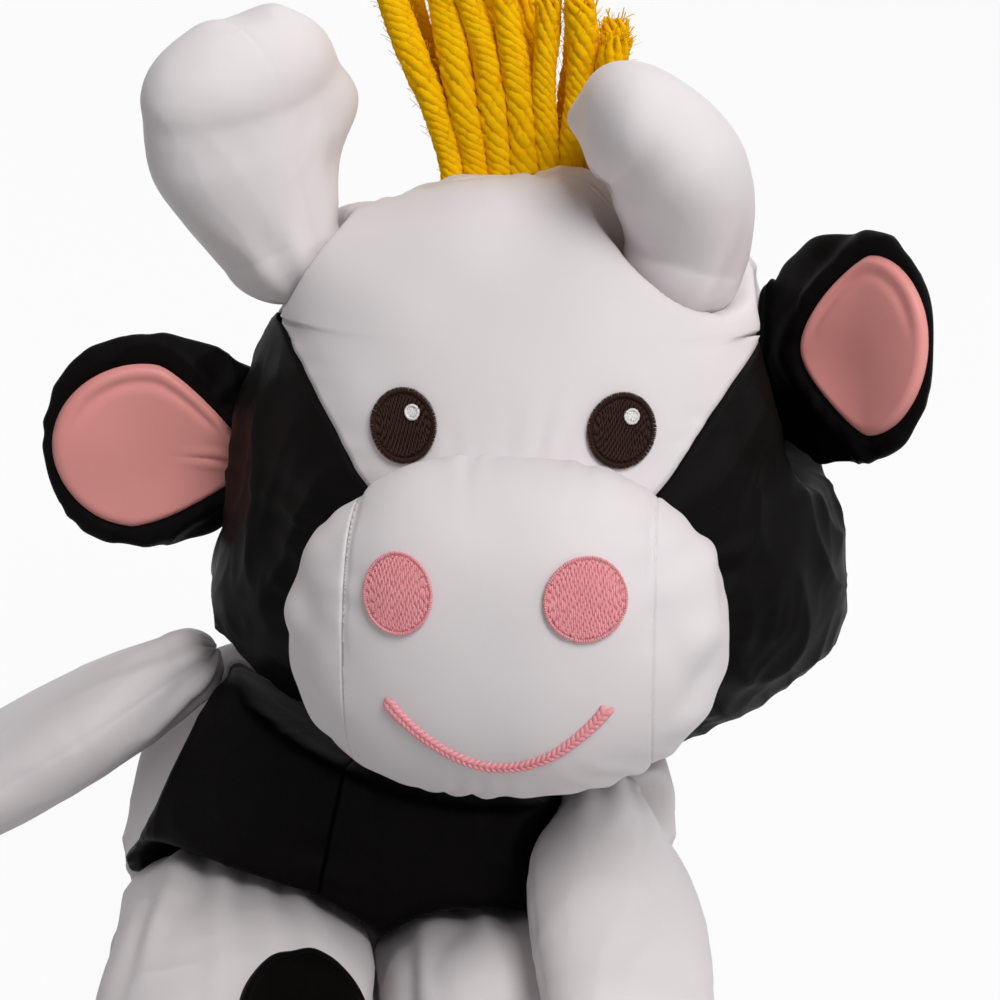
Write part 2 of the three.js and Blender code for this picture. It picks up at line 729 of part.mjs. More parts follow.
// Hair: two rows of cut strands that fan out from the crown seam
function buildHair() {
  const crown = headForm(0);
  let number = 0;
  for (const { count, backShare, lean } of hairRows) {
    for (let i = 0; i < count; i += 1) {
      number += 1;
      const spread = ((i + 0.5) / count) * 2 - 1;
      const x = ((spread + hairPlaceShare) * hairWidth) / 2;
      const y = headLean + hairSetback + backShare * yarnDiameter;
      const fan = spread * hairFan - hairDrift;
      const cut = hairCutShares.side * Math.max(spread, 0) ** hairCutShares.curve;
      const ragged = hairCutShares.ragged * Math.cos(3 * number);
      const length = yarnLength * (1 - cut + ragged);
      const under = new THREE.CylinderGeometry(yarnDiameter / 2, yarnDiameter / 2, headHeight, 6);
      under.rotateX(quarterTurn);
      under.translate(x, y, headHeight / 2);
      const root = crown.intersect(solidOf(under)).boundingBox().max[2] + hairSeat;
      const tip = headHeight / 2 + length;
      const points = [0, 0.35, 0.7, 1].map((t) => new THREE.Vector3(
        x + fan * t ** 1.3,
        y + lean * t ** 1.5,
        root + (tip - root) * t,
      ));
      const name = `yarn_strand_${String(number).padStart(2, '0')}`;
      add(headInner, name, strand(points, yarnDiameter), yellowYarn);
    }
  }
}

// Each ear has a satin pad let into the front of its padded back
function buildEars() {
  for (const side of sides) {
    const ear = ears[side];
    const group = new THREE.Group();
    group.applyMatrix4(ear.matrix);
    headInner.add(group);
    const outward = side === 'left' ? 1 : -1;
    const centre = liningShares.along * earSize.length;
    const length = liningShares.length * earSize.length;
    const width = liningShares.width * earSize.width;
    const outline = eggShape(centre, 0, length, width, liningTilt);
    const grown = eggShape(centre, 0, length + 2 * fitGap, width + 2 * fitGap, liningTilt);
    const [padNear, padFar] = outward > 0 ? [-overrun, -liningSeat] : [liningSeat, overrun];
    const [cutNear, cutFar] = outward > 0 ? [-overrun, fitGap - liningSeat] : [liningSeat - fitGap, overrun];
    const whole = limbSolid(ear, 0);
    const lining = whole.intersect(cutter(outline, padNear, padFar));
    const recess = cutter(grown, cutNear, cutFar);
    add(group, `ear_back_${side}`, whole.subtract(recess), blackCloth);
    add(group, `ear_lining_${side}`, lining, pinkSatin);
  }
}

function buildLegs() {
  for (const side of sides) {
    const group = new THREE.Group();
    const leg = legs[side];
    group.applyMatrix4(leg.matrix);
    part.add(group);
    const floor = floorFlat - legSize.thickness / 2;
    const aboveFloor = sideOf('z', floor, legSize.thickness);
    const { bag, filling } = bagAndFilling(leg);
    add(group, `leg_${side}_cover`, bag.intersect(aboveFloor), whiteCloth);
    const coreFloor = sideOf('z', floor + clothThickness + fitGap, legSize.thickness);
    add(group, `leg_${side}_stuffing`, filling.intersect(coreFloor), fibre);
    group.position.z -= floorFlat;
    if (side === 'right') {
      const low = limbSolid(leg, fitGap);
      const patch = limbSolid(leg, fitGap + spotRise).subtract(low);
      const round = new THREE.CylinderGeometry(0.5, 0.5, 1, 24);
      round.scale(spotLength, overrun, spotWidth);
      round.rotateX(quarterTurn);
      const along = spotPlaceShares.along * legSize.length;
      round.translate(along, spotPlaceShares.across * spotWidth, overrun / 2);
      add(group, 'leg_spot', patch.intersect(solidOf(round)), blackCloth);
    }
  }
}

function buildTail() {
  const group = new THREE.Group();
  group.applyMatrix4(tail.matrix);
  part.add(group);
  add(group, 'tail_cover', limbSolid(tail, 0, tailRows, tailSides), whiteCloth);
  const start = tailSize.length + fitGap;
  let tuft = null;
  for (let i = 0; i < tailYarns; i += 1) {
    const angle = (i / tailYarns) * 2 * Math.PI;
    const points = [0, 0.5, 1].map((t) => {
      const share = tuftSpreadShares.root + (tuftSpreadShares.tip - tuftSpreadShares.root) * t;
      const [y, z] = [Math.cos(angle), Math.sin(angle)].map((turn) => turn * share * yarnDiameter);
      return new THREE.Vector3(start + tailYarnLength * t, y, z);
    });
    const lock = strand(points, yarnDiameter);
    tuft = tuft ? tuft.add(lock) : lock;
  }
  add(group, 'tail_tuft', tuft, yellowYarn);
}

buildTorso();
buildNeck();
buildHead();
buildMuzzle();
buildHair();
buildEars();
for (const side of sides) {
  addLimb(headInner, `horn_${side}`, horns[side]);
  addLimb(part, `arm_${side}`, arms[side]);
}
buildLegs();
buildTail();

export default part;
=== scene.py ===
import bmesh
import bpy
import numpy as np
from mathutils import Matrix, Vector


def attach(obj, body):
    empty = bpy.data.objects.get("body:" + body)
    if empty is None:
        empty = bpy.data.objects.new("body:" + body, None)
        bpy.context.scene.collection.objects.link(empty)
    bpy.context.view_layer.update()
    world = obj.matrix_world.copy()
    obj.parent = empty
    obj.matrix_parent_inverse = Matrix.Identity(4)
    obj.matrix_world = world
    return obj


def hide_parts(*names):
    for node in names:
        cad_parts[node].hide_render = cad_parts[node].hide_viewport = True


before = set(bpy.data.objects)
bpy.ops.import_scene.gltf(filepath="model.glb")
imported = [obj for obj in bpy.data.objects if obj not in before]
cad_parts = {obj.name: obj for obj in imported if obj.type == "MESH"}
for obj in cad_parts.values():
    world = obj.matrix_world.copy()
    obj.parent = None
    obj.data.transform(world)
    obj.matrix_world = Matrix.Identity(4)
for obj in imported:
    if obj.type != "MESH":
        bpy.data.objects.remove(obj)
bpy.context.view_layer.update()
mm = 0.001
tau = 2 * np.pi

# Camera, floor and lamps


def addObject(name, data):
    obj = bpy.data.objects.new(name, data)
    bpy.context.scene.collection.objects.link(obj)
    return obj


camera = {
    "elevation": 20, "roll": 12, "distance": 0.6, "target": (0.015, 0, 0.168),
    "seenAt": (505, 475), "focal": 2190, "picture": 1000, "sensor": 36,
}


def makeCamera(s):
    # the line of sight dips by the elevation, then the view turns about it by the roll
    high, turn = np.radians([s["elevation"], s["roll"]])
    look = np.array([0, np.cos(high), -np.sin(high)])
    right = np.array([1.0, 0, 0])
    up = np.cross(right, look)
    across = right * np.cos(turn) + up * np.sin(turn)
    upright = up * np.cos(turn) - right * np.sin(turn)
    place = np.array(s["target"]) - look * s["distance"]
    data = bpy.data.cameras.new("view")
    data.sensor_width = s["sensor"]
    data.lens = s["focal"] / s["picture"] * s["sensor"]
    middle = s["picture"] / 2
    data.shift_x = (middle - s["seenAt"][0]) / s["picture"]
    data.shift_y = (s["seenAt"][1] - middle) / s["picture"]
    obj = addObject("view", data)
    obj.matrix_world = Matrix(np.column_stack([across, upright, -look, place]).tolist()).to_4x4()
    bpy.context.scene.camera = obj


lamps = {
    "key": {"at": (0.55, -1.1, 1.95), "size": 1.0, "power": 29},
    "fill": {"at": (1.4, -0.9, 0.8), "size": 1.2, "power": 5},
    "top": {"at": (0.2, 0.9, 1.7), "size": 1.0, "power": 8},
}
studio = {"floorWidth": 12, "floorDrop": 0.0004, "floorColour": 0.5, "skyLight": 0.24, "whiteShare": 0.95}


def makeLamp(name, s):
    data = bpy.data.lights.new(name, "AREA")
    data.size = s["size"]
    data.energy = s["power"]
    obj = addObject(name, data)
    obj.location = s["at"]
    towards = np.array(camera["target"]) - np.array(s["at"])
    obj.rotation_mode = "QUATERNION"
    obj.rotation_quaternion = Vector(towards).to_track_quat("-Z", "Y")


def added(tree, kind, inputs=None, **values):
    # a new node with its values set, and its inputs linked or given a value
    made = tree.nodes.new(kind)
    for key, value in values.items():
        setattr(made, key, value)
    for place, value in (inputs or {}).items():
        if hasattr(value, "is_linked"):
            tree.links.new(value, made.inputs[place])
        else:
            made.inputs[place].default_value = value
    return made


def maths(tree, operation, *values):
    return added(tree, "ShaderNodeMath", dict(enumerate(values)), operation=operation).outputs[0]


def emptied(thing):
    # the node tree of a world or a material, with nothing in it
    thing.use_nodes = True
    thing.node_tree.nodes.clear()
    return thing.node_tree


def seenDirectly(tree):
    # one where the camera, a gloss or a clear surface looks straight at it
    path = added(tree, "ShaderNodeLightPath").outputs
    seen = maths(tree, "MAXIMUM", path["Is Camera Ray"], path["Is Glossy Ray"])
    return maths(tree, "MAXIMUM", seen, path["Is Transmission Ray"])


def makeStudio(s):
    world = bpy.data.worlds.new("studio")
    bpy.context.scene.world = world
    tree = emptied(world)
    white = (1, 1, 1, 1)
    light = added(tree, "ShaderNodeBackground", {"Strength": s["skyLight"], "Color": white}).outputs[0]
    plain = added(tree, "ShaderNodeBackground", {"Color": white}).outputs[0]
    mix = added(tree, "ShaderNodeMixShader", {0: seenDirectly(tree), 1: light, 2: plain}).outputs[0]
    added(tree, "ShaderNodeOutputWorld", {0: mix})

    half = s["floorWidth"] / 2
    corners = [(-half, -half, 0), (half, -half, 0), (half, half, 0), (-half, half, 0)]
    mesh = bpy.data.meshes.new("floor")
    mesh.from_pydata(corners, [], [(0, 1, 2, 3)])
    floor = addObject("floor", mesh)
    floor.location.z = -s["floorDrop"]
    material = bpy.data.materials.new("pale floor")
    tree = emptied(material)
    paint = added(tree, "ShaderNodeBsdfDiffuse", {"Color": (*[s["floorColour"]] * 3, 1)}).outputs[0]
    glow = added(tree, "ShaderNodeEmission", {"Strength": 1}).outputs[0]
    share = maths(tree, "MULTIPLY", seenDirectly(tree), s["whiteShare"])
    mix = added(tree, "ShaderNodeMixShader", {0: share, 1: paint, 2: glow}).outputs[0]
    added(tree, "ShaderNodeOutputMaterial", {0: mix})
    mesh.materials.append(material)


makeCamera(camera)
for name, s in lamps.items():
    makeLamp(name, s)
makeStudio(studio)
bpy.context.scene.view_settings.view_transform = "Standard"
print("studio made")

# Forms, in millimetres: each is a function of u, from pole to pole, and v, round it

torso = {
    "size": (158, 106, 118), "slouch": 16, "sunk": 0.5, "square": 2.2, "dome": 0.78,
    "width": [(0, 1.0), (0.3, 1.0), (0.5, 1.0), (0.7, 0.98), (0.85, 0.9), (1, 0.8)],
    "depth": [(0, 1.1), (0.3, 1.04), (0.5, 0.95), (0.7, 0.84), (0.85, 0.78), (1, 0.75)],
    "sideSeam": -9.54, "chestSeam": -11.06, "seatSeam": 15.34, "seamShift": 8.0,
}
head = {
    "size": (174, 126, 161), "lean": 6, "square": 2.15,
    "width": [
        (0, 1.0), (0.1, 1.06), (0.2, 1.13), (0.3, 1.16), (0.36, 1.11), (0.42, 1.02),
        (0.5, 0.95), (0.6, 0.92), (0.7, 0.94), (0.85, 1.12), (1, 1.25),
    ],
    "depth": [(0, 1.0), (0.25, 1.08), (0.5, 1.0), (0.75, 0.95), (1, 1.1)],
    "neck": (-17, 4, -62), "turn": (-7, -11.5, -0.5), "sideSeam": 6.3,
    "blaze": [
        (-0.8, 0), (-0.55, 0.22), (-0.1, 0.36), (0.03, 0.4), (0.11, 0.46), (0.19, 0.51),
        (0.31, 0.59), (0.44, 0.69), (0.52, 0.79), (0.6, 1.15), (1.3, 1.15),
    ],
}
muzzle = {
    "size": (109, 84), "drop": 25.5, "reach": 107, "back": 40, "middle": 70,
    "square": 2.3, "dome": 0.8, "seam": 36.5,
    "shares": [(0, 0.96), (0.3, 0.97), (0.5, 1.0), (0.75, 1.04), (1, 1.1)],
}
neck = {"radius": 29, "at": (16, 3, 106)}
rootShare, tipShare = 0.22, 0.26


def shareAt(table, station):
    # a smooth curve through the rows of a table, each a station and its share
    x, y = np.array(table, float).T
    last = len(x) - 1
    before, after = np.maximum(np.arange(last + 1) - 1, 0), np.minimum(np.arange(last + 1) + 1, last)
    slope = (y[after] - y[before]) / (x[after] - x[before])
    end = np.clip(np.searchsorted(x, station), 1, last)
    span, rise = x[end] - x[end - 1], y[end] - y[end - 1]
    t = np.clip((station - x[end - 1]) / span, 0, 1)
    bend = (slope[end - 1] * span - rise) * (1 - t) + (rise - slope[end] * span) * t
    return y[end - 1] + rise * t + t * (1 - t) * bend


def section(across, up, v, square):
    # an ellipse whose corners fill out as square goes above two
    c, s = np.cos(tau * v), np.sin(tau * v)
    return across * np.sign(c) * np.abs(c) ** (2 / square), up * np.sign(s) * np.abs(s) ** (2 / square)


def torsoSection(u):
    ring = np.sin(np.pi * u) ** torso["dome"]
    return [torso["size"][i] / 2 * ring * shareAt(torso[k], u) for i, k in enumerate(("width", "depth"))]


def torsoPoint(u, v):
    # a pear with a broad seat, whose sections slide sideways as they rise
    x, y = section(*torsoSection(u), v, torso["square"])
    height = (1 - np.cos(np.pi * u)) / 2
    return np.stack([x + torso["slouch"] * height ** 2, y, torso["size"][2] * height - torso["sunk"]], -1)


def headSection(u):
    ring = np.sin(np.pi * u)
    return [head["size"][i] / 2 * ring * shareAt(head[k], u) for i, k in enumerate(("width", "depth"))]


def headPoint(u, v):
    # a pear, widest at the cheeks, whose forehead leans back
    x, y = section(*headSection(u), v, head["square"])
    height = -np.cos(np.pi * u)
    return np.stack([x, y + head["lean"] * height, head["size"][2] / 2 * height], -1)


def muzzleRing(u):
    return np.sin(np.pi * u) ** muzzle["dome"] * shareAt(muzzle["shares"], u)


def muzzlePoint(u, v):
    # a dome: rings that widen and close again as they run forward
    height = -np.cos(np.pi * u)
    ring = muzzleRing(u)
    x, z = section(muzzle["size"][0] / 2 * ring, muzzle["size"][1] / 2 * ring, v, muzzle["square"])
    reach = np.where(height < 0, muzzle["middle"] - muzzle["back"], muzzle["reach"] - muzzle["middle"])
    return np.stack([x, -muzzle["middle"] - reach * height, z - muzzle["drop"]], -1)


def limbSection(limb, station):
    wide, thick = limb["size"][1:3]
    return thick / 2 * shareAt(limb["thick"], station), wide / 2 * shareAt(limb["wide"], station)


def limbRow(limb, x):
    # the trunk's station and the form's row at a length along the limb
    station = np.clip(x / (limb["size"][0] - limb["size"][4]), 0, 1)
    return station, rootShare + station * (1 - rootShare - tipShare)


def hump(limb, along):
    # how much higher the upper half stands near the root, a bell along the limb
    middle, reach = 30, 32
    return limb.get("hump", 0) * np.exp(-((along - middle) / reach) ** 2)


def limbPoint(limb):
    # a round root, a trunk whose sections follow two tables, a round tip, all bent in the plane of x and z
    length, _, _, root, tip = limb["size"]
    trunk = length - tip

    def point(u, v):
        start, end = u < rootShare, u > 1 - tipShare
        station = np.clip((u - rootShare) / (1 - rootShare - tipShare), 0, 1)
        low, high = np.clip(u / rootShare, 0, 1) * np.pi / 2, np.clip((1 - u) / tipShare, 0, 1) * np.pi / 2
        blunt = 2 / limb.get("blunt", 2)
        tipAlong = trunk + tip * np.cos(high) ** blunt
        along = np.where(start, -root * np.cos(low), np.where(end, tipAlong, trunk * station))
        fill = np.where(start, np.sin(low), np.where(end, np.sin(high) ** blunt, 1.0))
        thick, wide = limbSection(limb, station)
        y, z = section(thick * fill, wide * fill, v, limb.get("square", 2))
        z = np.where(z > 0, z * (1 + hump(limb, along)), z)
        turn = np.radians(limb.get("turn", 0)) / length
        if turn == 0:
            return np.stack([along, y, z], -1)
        bend = turn * np.maximum(along, 0)
        x = np.where(along > 0, np.sin(bend) / turn, along)
        return np.stack([x - z * np.sin(bend), y, (1 - np.cos(bend)) / turn + z * np.cos(bend)], -1)

    return point


def turnAbout(axis, degrees):
    return np.array(Matrix.Rotation(np.radians(degrees), 4, axis))


def moved(matrix, p):
    return p @ matrix[:3, :3].T + matrix[:3, 3]


def placed(matrix, at):
    made = matrix.copy()
    made[:3, 3] = at
    return made


headTurn = turnAbout("Z", head["turn"][2]) @ turnAbout("Y", head["turn"][1]) @ turnAbout("X", head["turn"][0])
headFrame = placed(headTurn, np.array(neck["at"]) - headTurn[:3, :3] @ np.array(head["neck"]))


def headPose(turn, nod):
    # the head's frame with the neck turned and the head nodded
    to, back = placed(np.eye(4), neck["at"]), placed(np.eye(4), -np.array(neck["at"]))
    return to @ turnAbout("Z", turn) @ turnAbout("X", nod) @ back @ headFrame


def sewn(way, at, yaw, up, roll):
    # a limb's frame: it points outwards, then swings round, lifts and rolls
    heading = (0 if way > 0 else 180) - way * yaw
    return placed(turnAbout("Z", heading) @ turnAbout("Y", -up) @ turnAbout("X", way * roll), at)


# Each limb: length, width, thickness, root and tip; where it is sewn on and how it points; its hinge's own axis
# with the two limits, the steps between them that its pocket is pressed for, and how far its folds stand out

plain = [(0, 1.0), (1, 1.0)]
tailRise = 16
tailStation = np.arccos(1 - 2 * (tailRise + torso["sunk"]) / torso["size"][2]) / np.pi
tailRoot = torsoPoint(np.array(tailStation), np.array(0.25))
limbShapes = {
    "arm": {
        "size": (92, 50, 31, 11, 20),
        "wide": [(0, 0.44), (0.25, 0.84), (0.5, 0.99), (0.8, 1.0), (1, 0.96)],
        "thick": [(0, 0.7), (0.25, 0.9), (0.6, 1.0), (1, 0.95)],
        "steps": 6, "folds": 1.4,
        "right": {"at": (-63.2, -6.36, 93.22), "yaw": 14, "up": -40, "roll": 75, "swing": ("Z", -55, 25)},
        "left": {"at": (60.83, -16.96, 84.37), "yaw": 79, "up": -17, "roll": 76, "swing": ("Y", 0, 45)},
    },
    "leg": {
        "size": (122, 48, 72, 36, 28), "square": 3.0,
        "wide": [(0, 1.0), (0.35, 1.0), (0.7, 1.0), (1, 1.0)],
        "thick": [(0, 0.97), (0.35, 1.0), (0.7, 0.98), (1, 0.9)],
        "steps": 6, "folds": 1.2,
        "right": {"at": (-30.02, -30.74, 23.5), "heading": -83, "hump": 0.2, "swing": ("Z", -30, 0)},
        "left": {"at": (43.06, -30.74, 23.5), "heading": -80, "hump": 0.56, "swing": ("Z", 0, 30)},
    },
    "horn": {
        "wide": [(0, 0.883), (0.3, 0.98), (0.6, 1.0), (0.8, 0.94), (0.93, 0.9), (1, 0.9)],
        "thick": [(0, 0.56), (0.3, 0.78), (0.6, 0.96), (0.8, 0.98), (0.93, 0.965), (1, 0.965)],
        "blunt": 2.15, "steps": 2, "folds": 0.8,
        "right": {
            "size": (64.5, 37.5, 60.5, 15, 17), "at": (-66.56, -5.04, 59.25),
            "up": 67, "yaw": 5, "roll": 50, "turn": 46, "swing": ("Y", -12, 12),
        },
        "left": {
            "size": (56, 36.8, 62, 15, 17), "at": (41.76, -14.81, 58.68),
            "up": 75, "yaw": 0, "roll": 5, "turn": 100, "swing": ("Y", -12, 12),
        },
    },
    "ear": {
        "size": (58, 62, 11, 5, 21),
        "wide": [(0, 0.66), (0.3, 0.9), (0.6, 1.0), (0.85, 0.98), (1, 0.95)],
        "thick": [(0, 0.91), (0.5, 1.05), (1, 1.0)],
        "steps": 8, "folds": 4.2,
        "right": {"at": (-76.56, 3.78, 3.22), "up": 4, "yaw": 16, "roll": 8, "swing": ("Z", -25, 25)},
        "left": {"at": (66.99, 3.78, 29.79), "up": 14, "yaw": 48, "roll": -6, "swing": ("Z", -25, 25)},
    },
    "tail": {
        "size": (62, 13, 13, 6.5, 6), "wide": plain, "thick": plain, "steps": 2, "folds": 0.4,
        "back": {"at": (tailRoot[0], tailRoot[1], tailRise), "heading": 90, "swing": ("Z", -35, 35)},
    },
}
ways = {"left": 1, "right": -1}


def makeLimbs(s):
    # the limbs of a kind, each with its own settings beside the shared ones and its frame worked out
    made = {}
    for side in (*ways, "back"):
        if side in s:
            part = made[side] = {**s, **s[side]}
            if "heading" in part:
                part["matrix"] = placed(turnAbout("Z", part["heading"]), part["at"])
            else:
                part["matrix"] = sewn(ways[side], *(part[k] for k in ("at", "yaw", "up", "roll")))
    return made


limbs = {kind: makeLimbs(s) for kind, s in limbShapes.items()}
tail = limbs["tail"]["back"]


def swung(kind):
    # every place that the limbs of a kind take up as they swing
    made = []
    for part in limbs[kind].values():
        axis, low, high = part["swing"]
        turns = np.linspace(low, high, part["steps"] + 1)
        made += [{**part, "matrix": part["matrix"] @ turnAbout(axis, turn)} for turn in turns]
    return made


# Whether points lie inside a form grown by a gap


def inEllipse(x, y, across, up, square, gap):
    a, b = np.maximum(across + gap, 1e-3), np.maximum(up + gap, 1e-3)
    return (np.abs(x) / a) ** square + (np.abs(y) / b) ** square < 1


def inHead(p, gap):
    height = p[..., 2] / (head["size"][2] / 2 + gap)
    u = np.arccos(np.clip(-height, -1, 1)) / np.pi
    hit = inEllipse(p[..., 0], p[..., 1] - head["lean"] * height, *headSection(u), head["square"], gap)
    return hit & (np.abs(height) < 1)


def muzzleHeight(y, gap=0.0):
    t = -(y + muzzle["middle"])
    reach = np.where(t < 0, muzzle["middle"] - muzzle["back"], muzzle["reach"] - muzzle["middle"])
    return t / (reach + gap)


def inMuzzle(p, gap):
    height = muzzleHeight(p[..., 1], gap)
    ring = muzzleRing(np.arccos(np.clip(-height, -1, 1)) / np.pi)
    wide, high = muzzle["size"][0] / 2 * ring, muzzle["size"][1] / 2 * ring
    hit = inEllipse(p[..., 0], p[..., 2] + muzzle["drop"], wide, high, muzzle["square"], gap)
    return hit & (np.abs(height) < 1)


def inLimb(limb, p, gap):
    length, _, _, root, tip = limb["size"]
    gap = gap + limb["folds"]
    q = moved(np.linalg.inv(limb["matrix"]), p)
    x, y, z = q[..., 0], q[..., 1], q[..., 2]
    turn = np.radians(limb.get("turn", 0)) / length
    if turn:
        angle = np.arctan2(x, 1 / turn - z)
        bent = x > 0
        x, z = np.where(bent, angle / turn, x), np.where(bent, 1 / turn - np.hypot(x, 1 / turn - z), z)
    z = np.where(z > 0, z / (1 + hump(limb, x)), z)
    trunk, blunt = length - tip, limb.get("blunt", 2)
    thick, wide = limbSection(limb, np.clip(x / trunk, 0, 1))
    low, high = np.clip(-x / (root + gap), 0, 1), np.clip((x - trunk) / (tip + gap), 0, 1)
    fill = np.sqrt(np.clip(1 - low ** 2, 0, 1)) * np.clip(1 - high ** blunt, 0, 1) ** (1 / blunt)
    hit = inEllipse(y, z, (thick + gap) * fill, (wide + gap) * fill, limb.get("square", 2), 0)
    return hit & (fill > 0)


def neighbours(depth):
    # the four neighbours of each value, closed round the form and open at its poles
    tall = np.pad(depth, ((1, 1), (0, 0)), "edge")
    return [tall[:-2], tall[2:], np.roll(depth, 1, 1), np.roll(depth, -1, 1)]


def blurred(depth):
    return (2 * depth + sum(neighbours(depth))) / 6


pressing = {"rows": 220, "columns": 400, "step": 2.0, "reach": 92, "halvings": 3, "blurs": 3, "skirt": 9}


def pressedField(place, tests, grow, s=pressing):
    # how far each point of a form goes back along its normal until it lies outside every test, found on a grid;
    # the pockets then grow by a few steps of the grid, and their rims are blurred
    rows, columns, step = s["rows"], s["columns"], s["step"]
    u, v = np.meshgrid(np.linspace(0, 1, rows), np.arange(columns) / columns, indexing="ij")
    p, n = (x.reshape(-1, 3) for x in place(u, v))
    depth = np.zeros(len(p))

    def held(index, deep):
        q = p[index] - n[index] * deep[:, None]
        hit = np.zeros(len(q), bool)
        for test in tests:
            hit |= test(q)
        return hit

    index = np.arange(len(p))
    for _ in range(int(s["reach"] / step)):
        index = index[held(index, depth[index])]
        depth[index] += step
    index = np.nonzero(depth)[0]
    for _ in range(s["halvings"]):
        step /= 2
        free = index[~held(index, depth[index] - step)]
        depth[free] -= step
    depth = depth.reshape(rows, columns)
    for _ in range(grow):
        depth = np.maximum.reduce([depth, *neighbours(depth)])
    for _ in range(s["blurs"]):
        depth = blurred(depth)
    skirt = depth
    for _ in range(s["skirt"]):
        skirt = np.maximum(depth, blurred(skirt))

    def at(u, v):
        # the grid's value between its rows and columns
        row, column = np.clip(u, 0, 1) * (rows - 1), (v % 1) * columns
        i, j = np.minimum(row.astype(int), rows - 2), column.astype(int) % columns
        a, b, k = row - i, column - np.floor(column), (j + 1) % columns
        low = skirt[i, j] * (1 - b) + skirt[i, k] * b
        return low * (1 - a) + (skirt[i + 1, j] * (1 - b) + skirt[i + 1, k] * b) * a

    return at


# Relief of the cloth


def unit(a):
    return a / np.maximum(np.linalg.norm(a, axis=-1, keepdims=True), 1e-9)


def normalOf(form, u, v):
    # square to small steps along and round the form
    step = 0.002
    middle = np.clip(u, step, 1 - step)
    along = form(middle + step, v) - form(middle - step, v)
    around = form(middle, v + step) - form(middle, v - step)
    return unit(np.cross(around, along))


def ripple(p, size, seed, waves=20):
    # soft noise: sine waves in random directions, their crests about size apart
    draw = np.random.default_rng(seed)
    way = unit(draw.normal(size=(waves, 3))) / (size * draw.uniform(0.7, 1.6, (waves, 1)))
    phase = draw.uniform(0, tau, waves)
    return np.sin(tau * (p @ way.T) + phase).sum(-1) / np.sqrt(waves)


def pucker(away, along, seed, spacing=6.0, reach=9.0):
    # folds that run square to a seam: a wandering sine along it, strong and weak by turns, dying away from it
    wander = 0.7 * np.sin(along / spacing * 0.9 + seed) + 0.5 * np.sin(along / spacing * 2.3 + 2.1 * seed)
    fold = np.sin(tau * along / spacing + 1.6 * wander)
    strong = 0.55 + 0.45 * np.sin(along / spacing * 1.7 + 3.3 * seed)
    far = reach * (0.7 + 0.5 * np.sin(along / spacing * 0.8 + 1.3 * seed) ** 2)
    return fold * strong * np.exp(-(away / far) ** 1.4)


def seam(away, along, seed, fold=0.7, groove=1.0, spacing=7.0, reach=8.0):
    # a narrow crease in a shallow valley, with puckers beside it
    crease = -groove * np.exp(-(away / 0.9) ** 2) - 0.9 * np.exp(-(away / 7.0) ** 2)
    return crease + fold * pucker(away, along, seed, spacing, reach)


seams = {
    "headSide": {"seed": 1.0, "fold": 0.75, "spacing": 9.0, "reach": 12.0},
    "blaze": {"seed": 2.0, "fold": 0.3, "groove": 0.8, "spacing": 8.0, "reach": 6.0},
    "headBack": {"seed": 3.0, "fold": 0.6},
    "muzzle": {"seed": 6.0, "fold": 0.3, "groove": 0.55, "spacing": 9.0, "reach": 6.0},
    "torsoSide": {"seed": 7.0, "fold": 0.7},
    "chest": {"seed": 8.0, "fold": 0.7, "spacing": 9.0, "reach": 12.0},
    "back": {"seed": 9.0, "fold": 0.6},
    "seat": {"seed": 10.0, "fold": 0.6},
    "limb": {"fold": 0.5, "groove": 0.8, "spacing": 8.0, "reach": 8.0},
    "ear": {"fold": 0.45, "groove": 0.5, "spacing": 9.0, "reach": 5.0},
}
puckers = {
    "cheekBroad": {"seed": 4.4, "spacing": 21.0, "reach": 17.0},
    "cheek": {"seed": 2.6, "spacing": 11.0, "reach": 14.0},
    "faceRing": {"seed": 4.0, "spacing": 9.0, "reach": 12.0},
    "muzzleRoot": {"seed": 5.0, "spacing": 9.0, "reach": 15.0},
    "muzzleBroad": {"seed": 7.7, "spacing": 16.0, "reach": 20.0},
    "ear": {"spacing": 9.0, "reach": 6.0},
}


def crumple(p, size, seed, sharp=1.6):
    # soft folds with sharper valleys: two rounds of noise, the first bending the second
    bent = p + np.stack([ripple(p, size * 1.6, seed + k, 8) for k in range(3)], -1) * size * 0.22
    return 1 - sharp * np.abs(ripple(bent, size, seed + 3, 12)) ** 0.8


def ramp(x, soft):
    # rises from none to one about zero
    return 1 / (1 + np.exp(-x / soft))


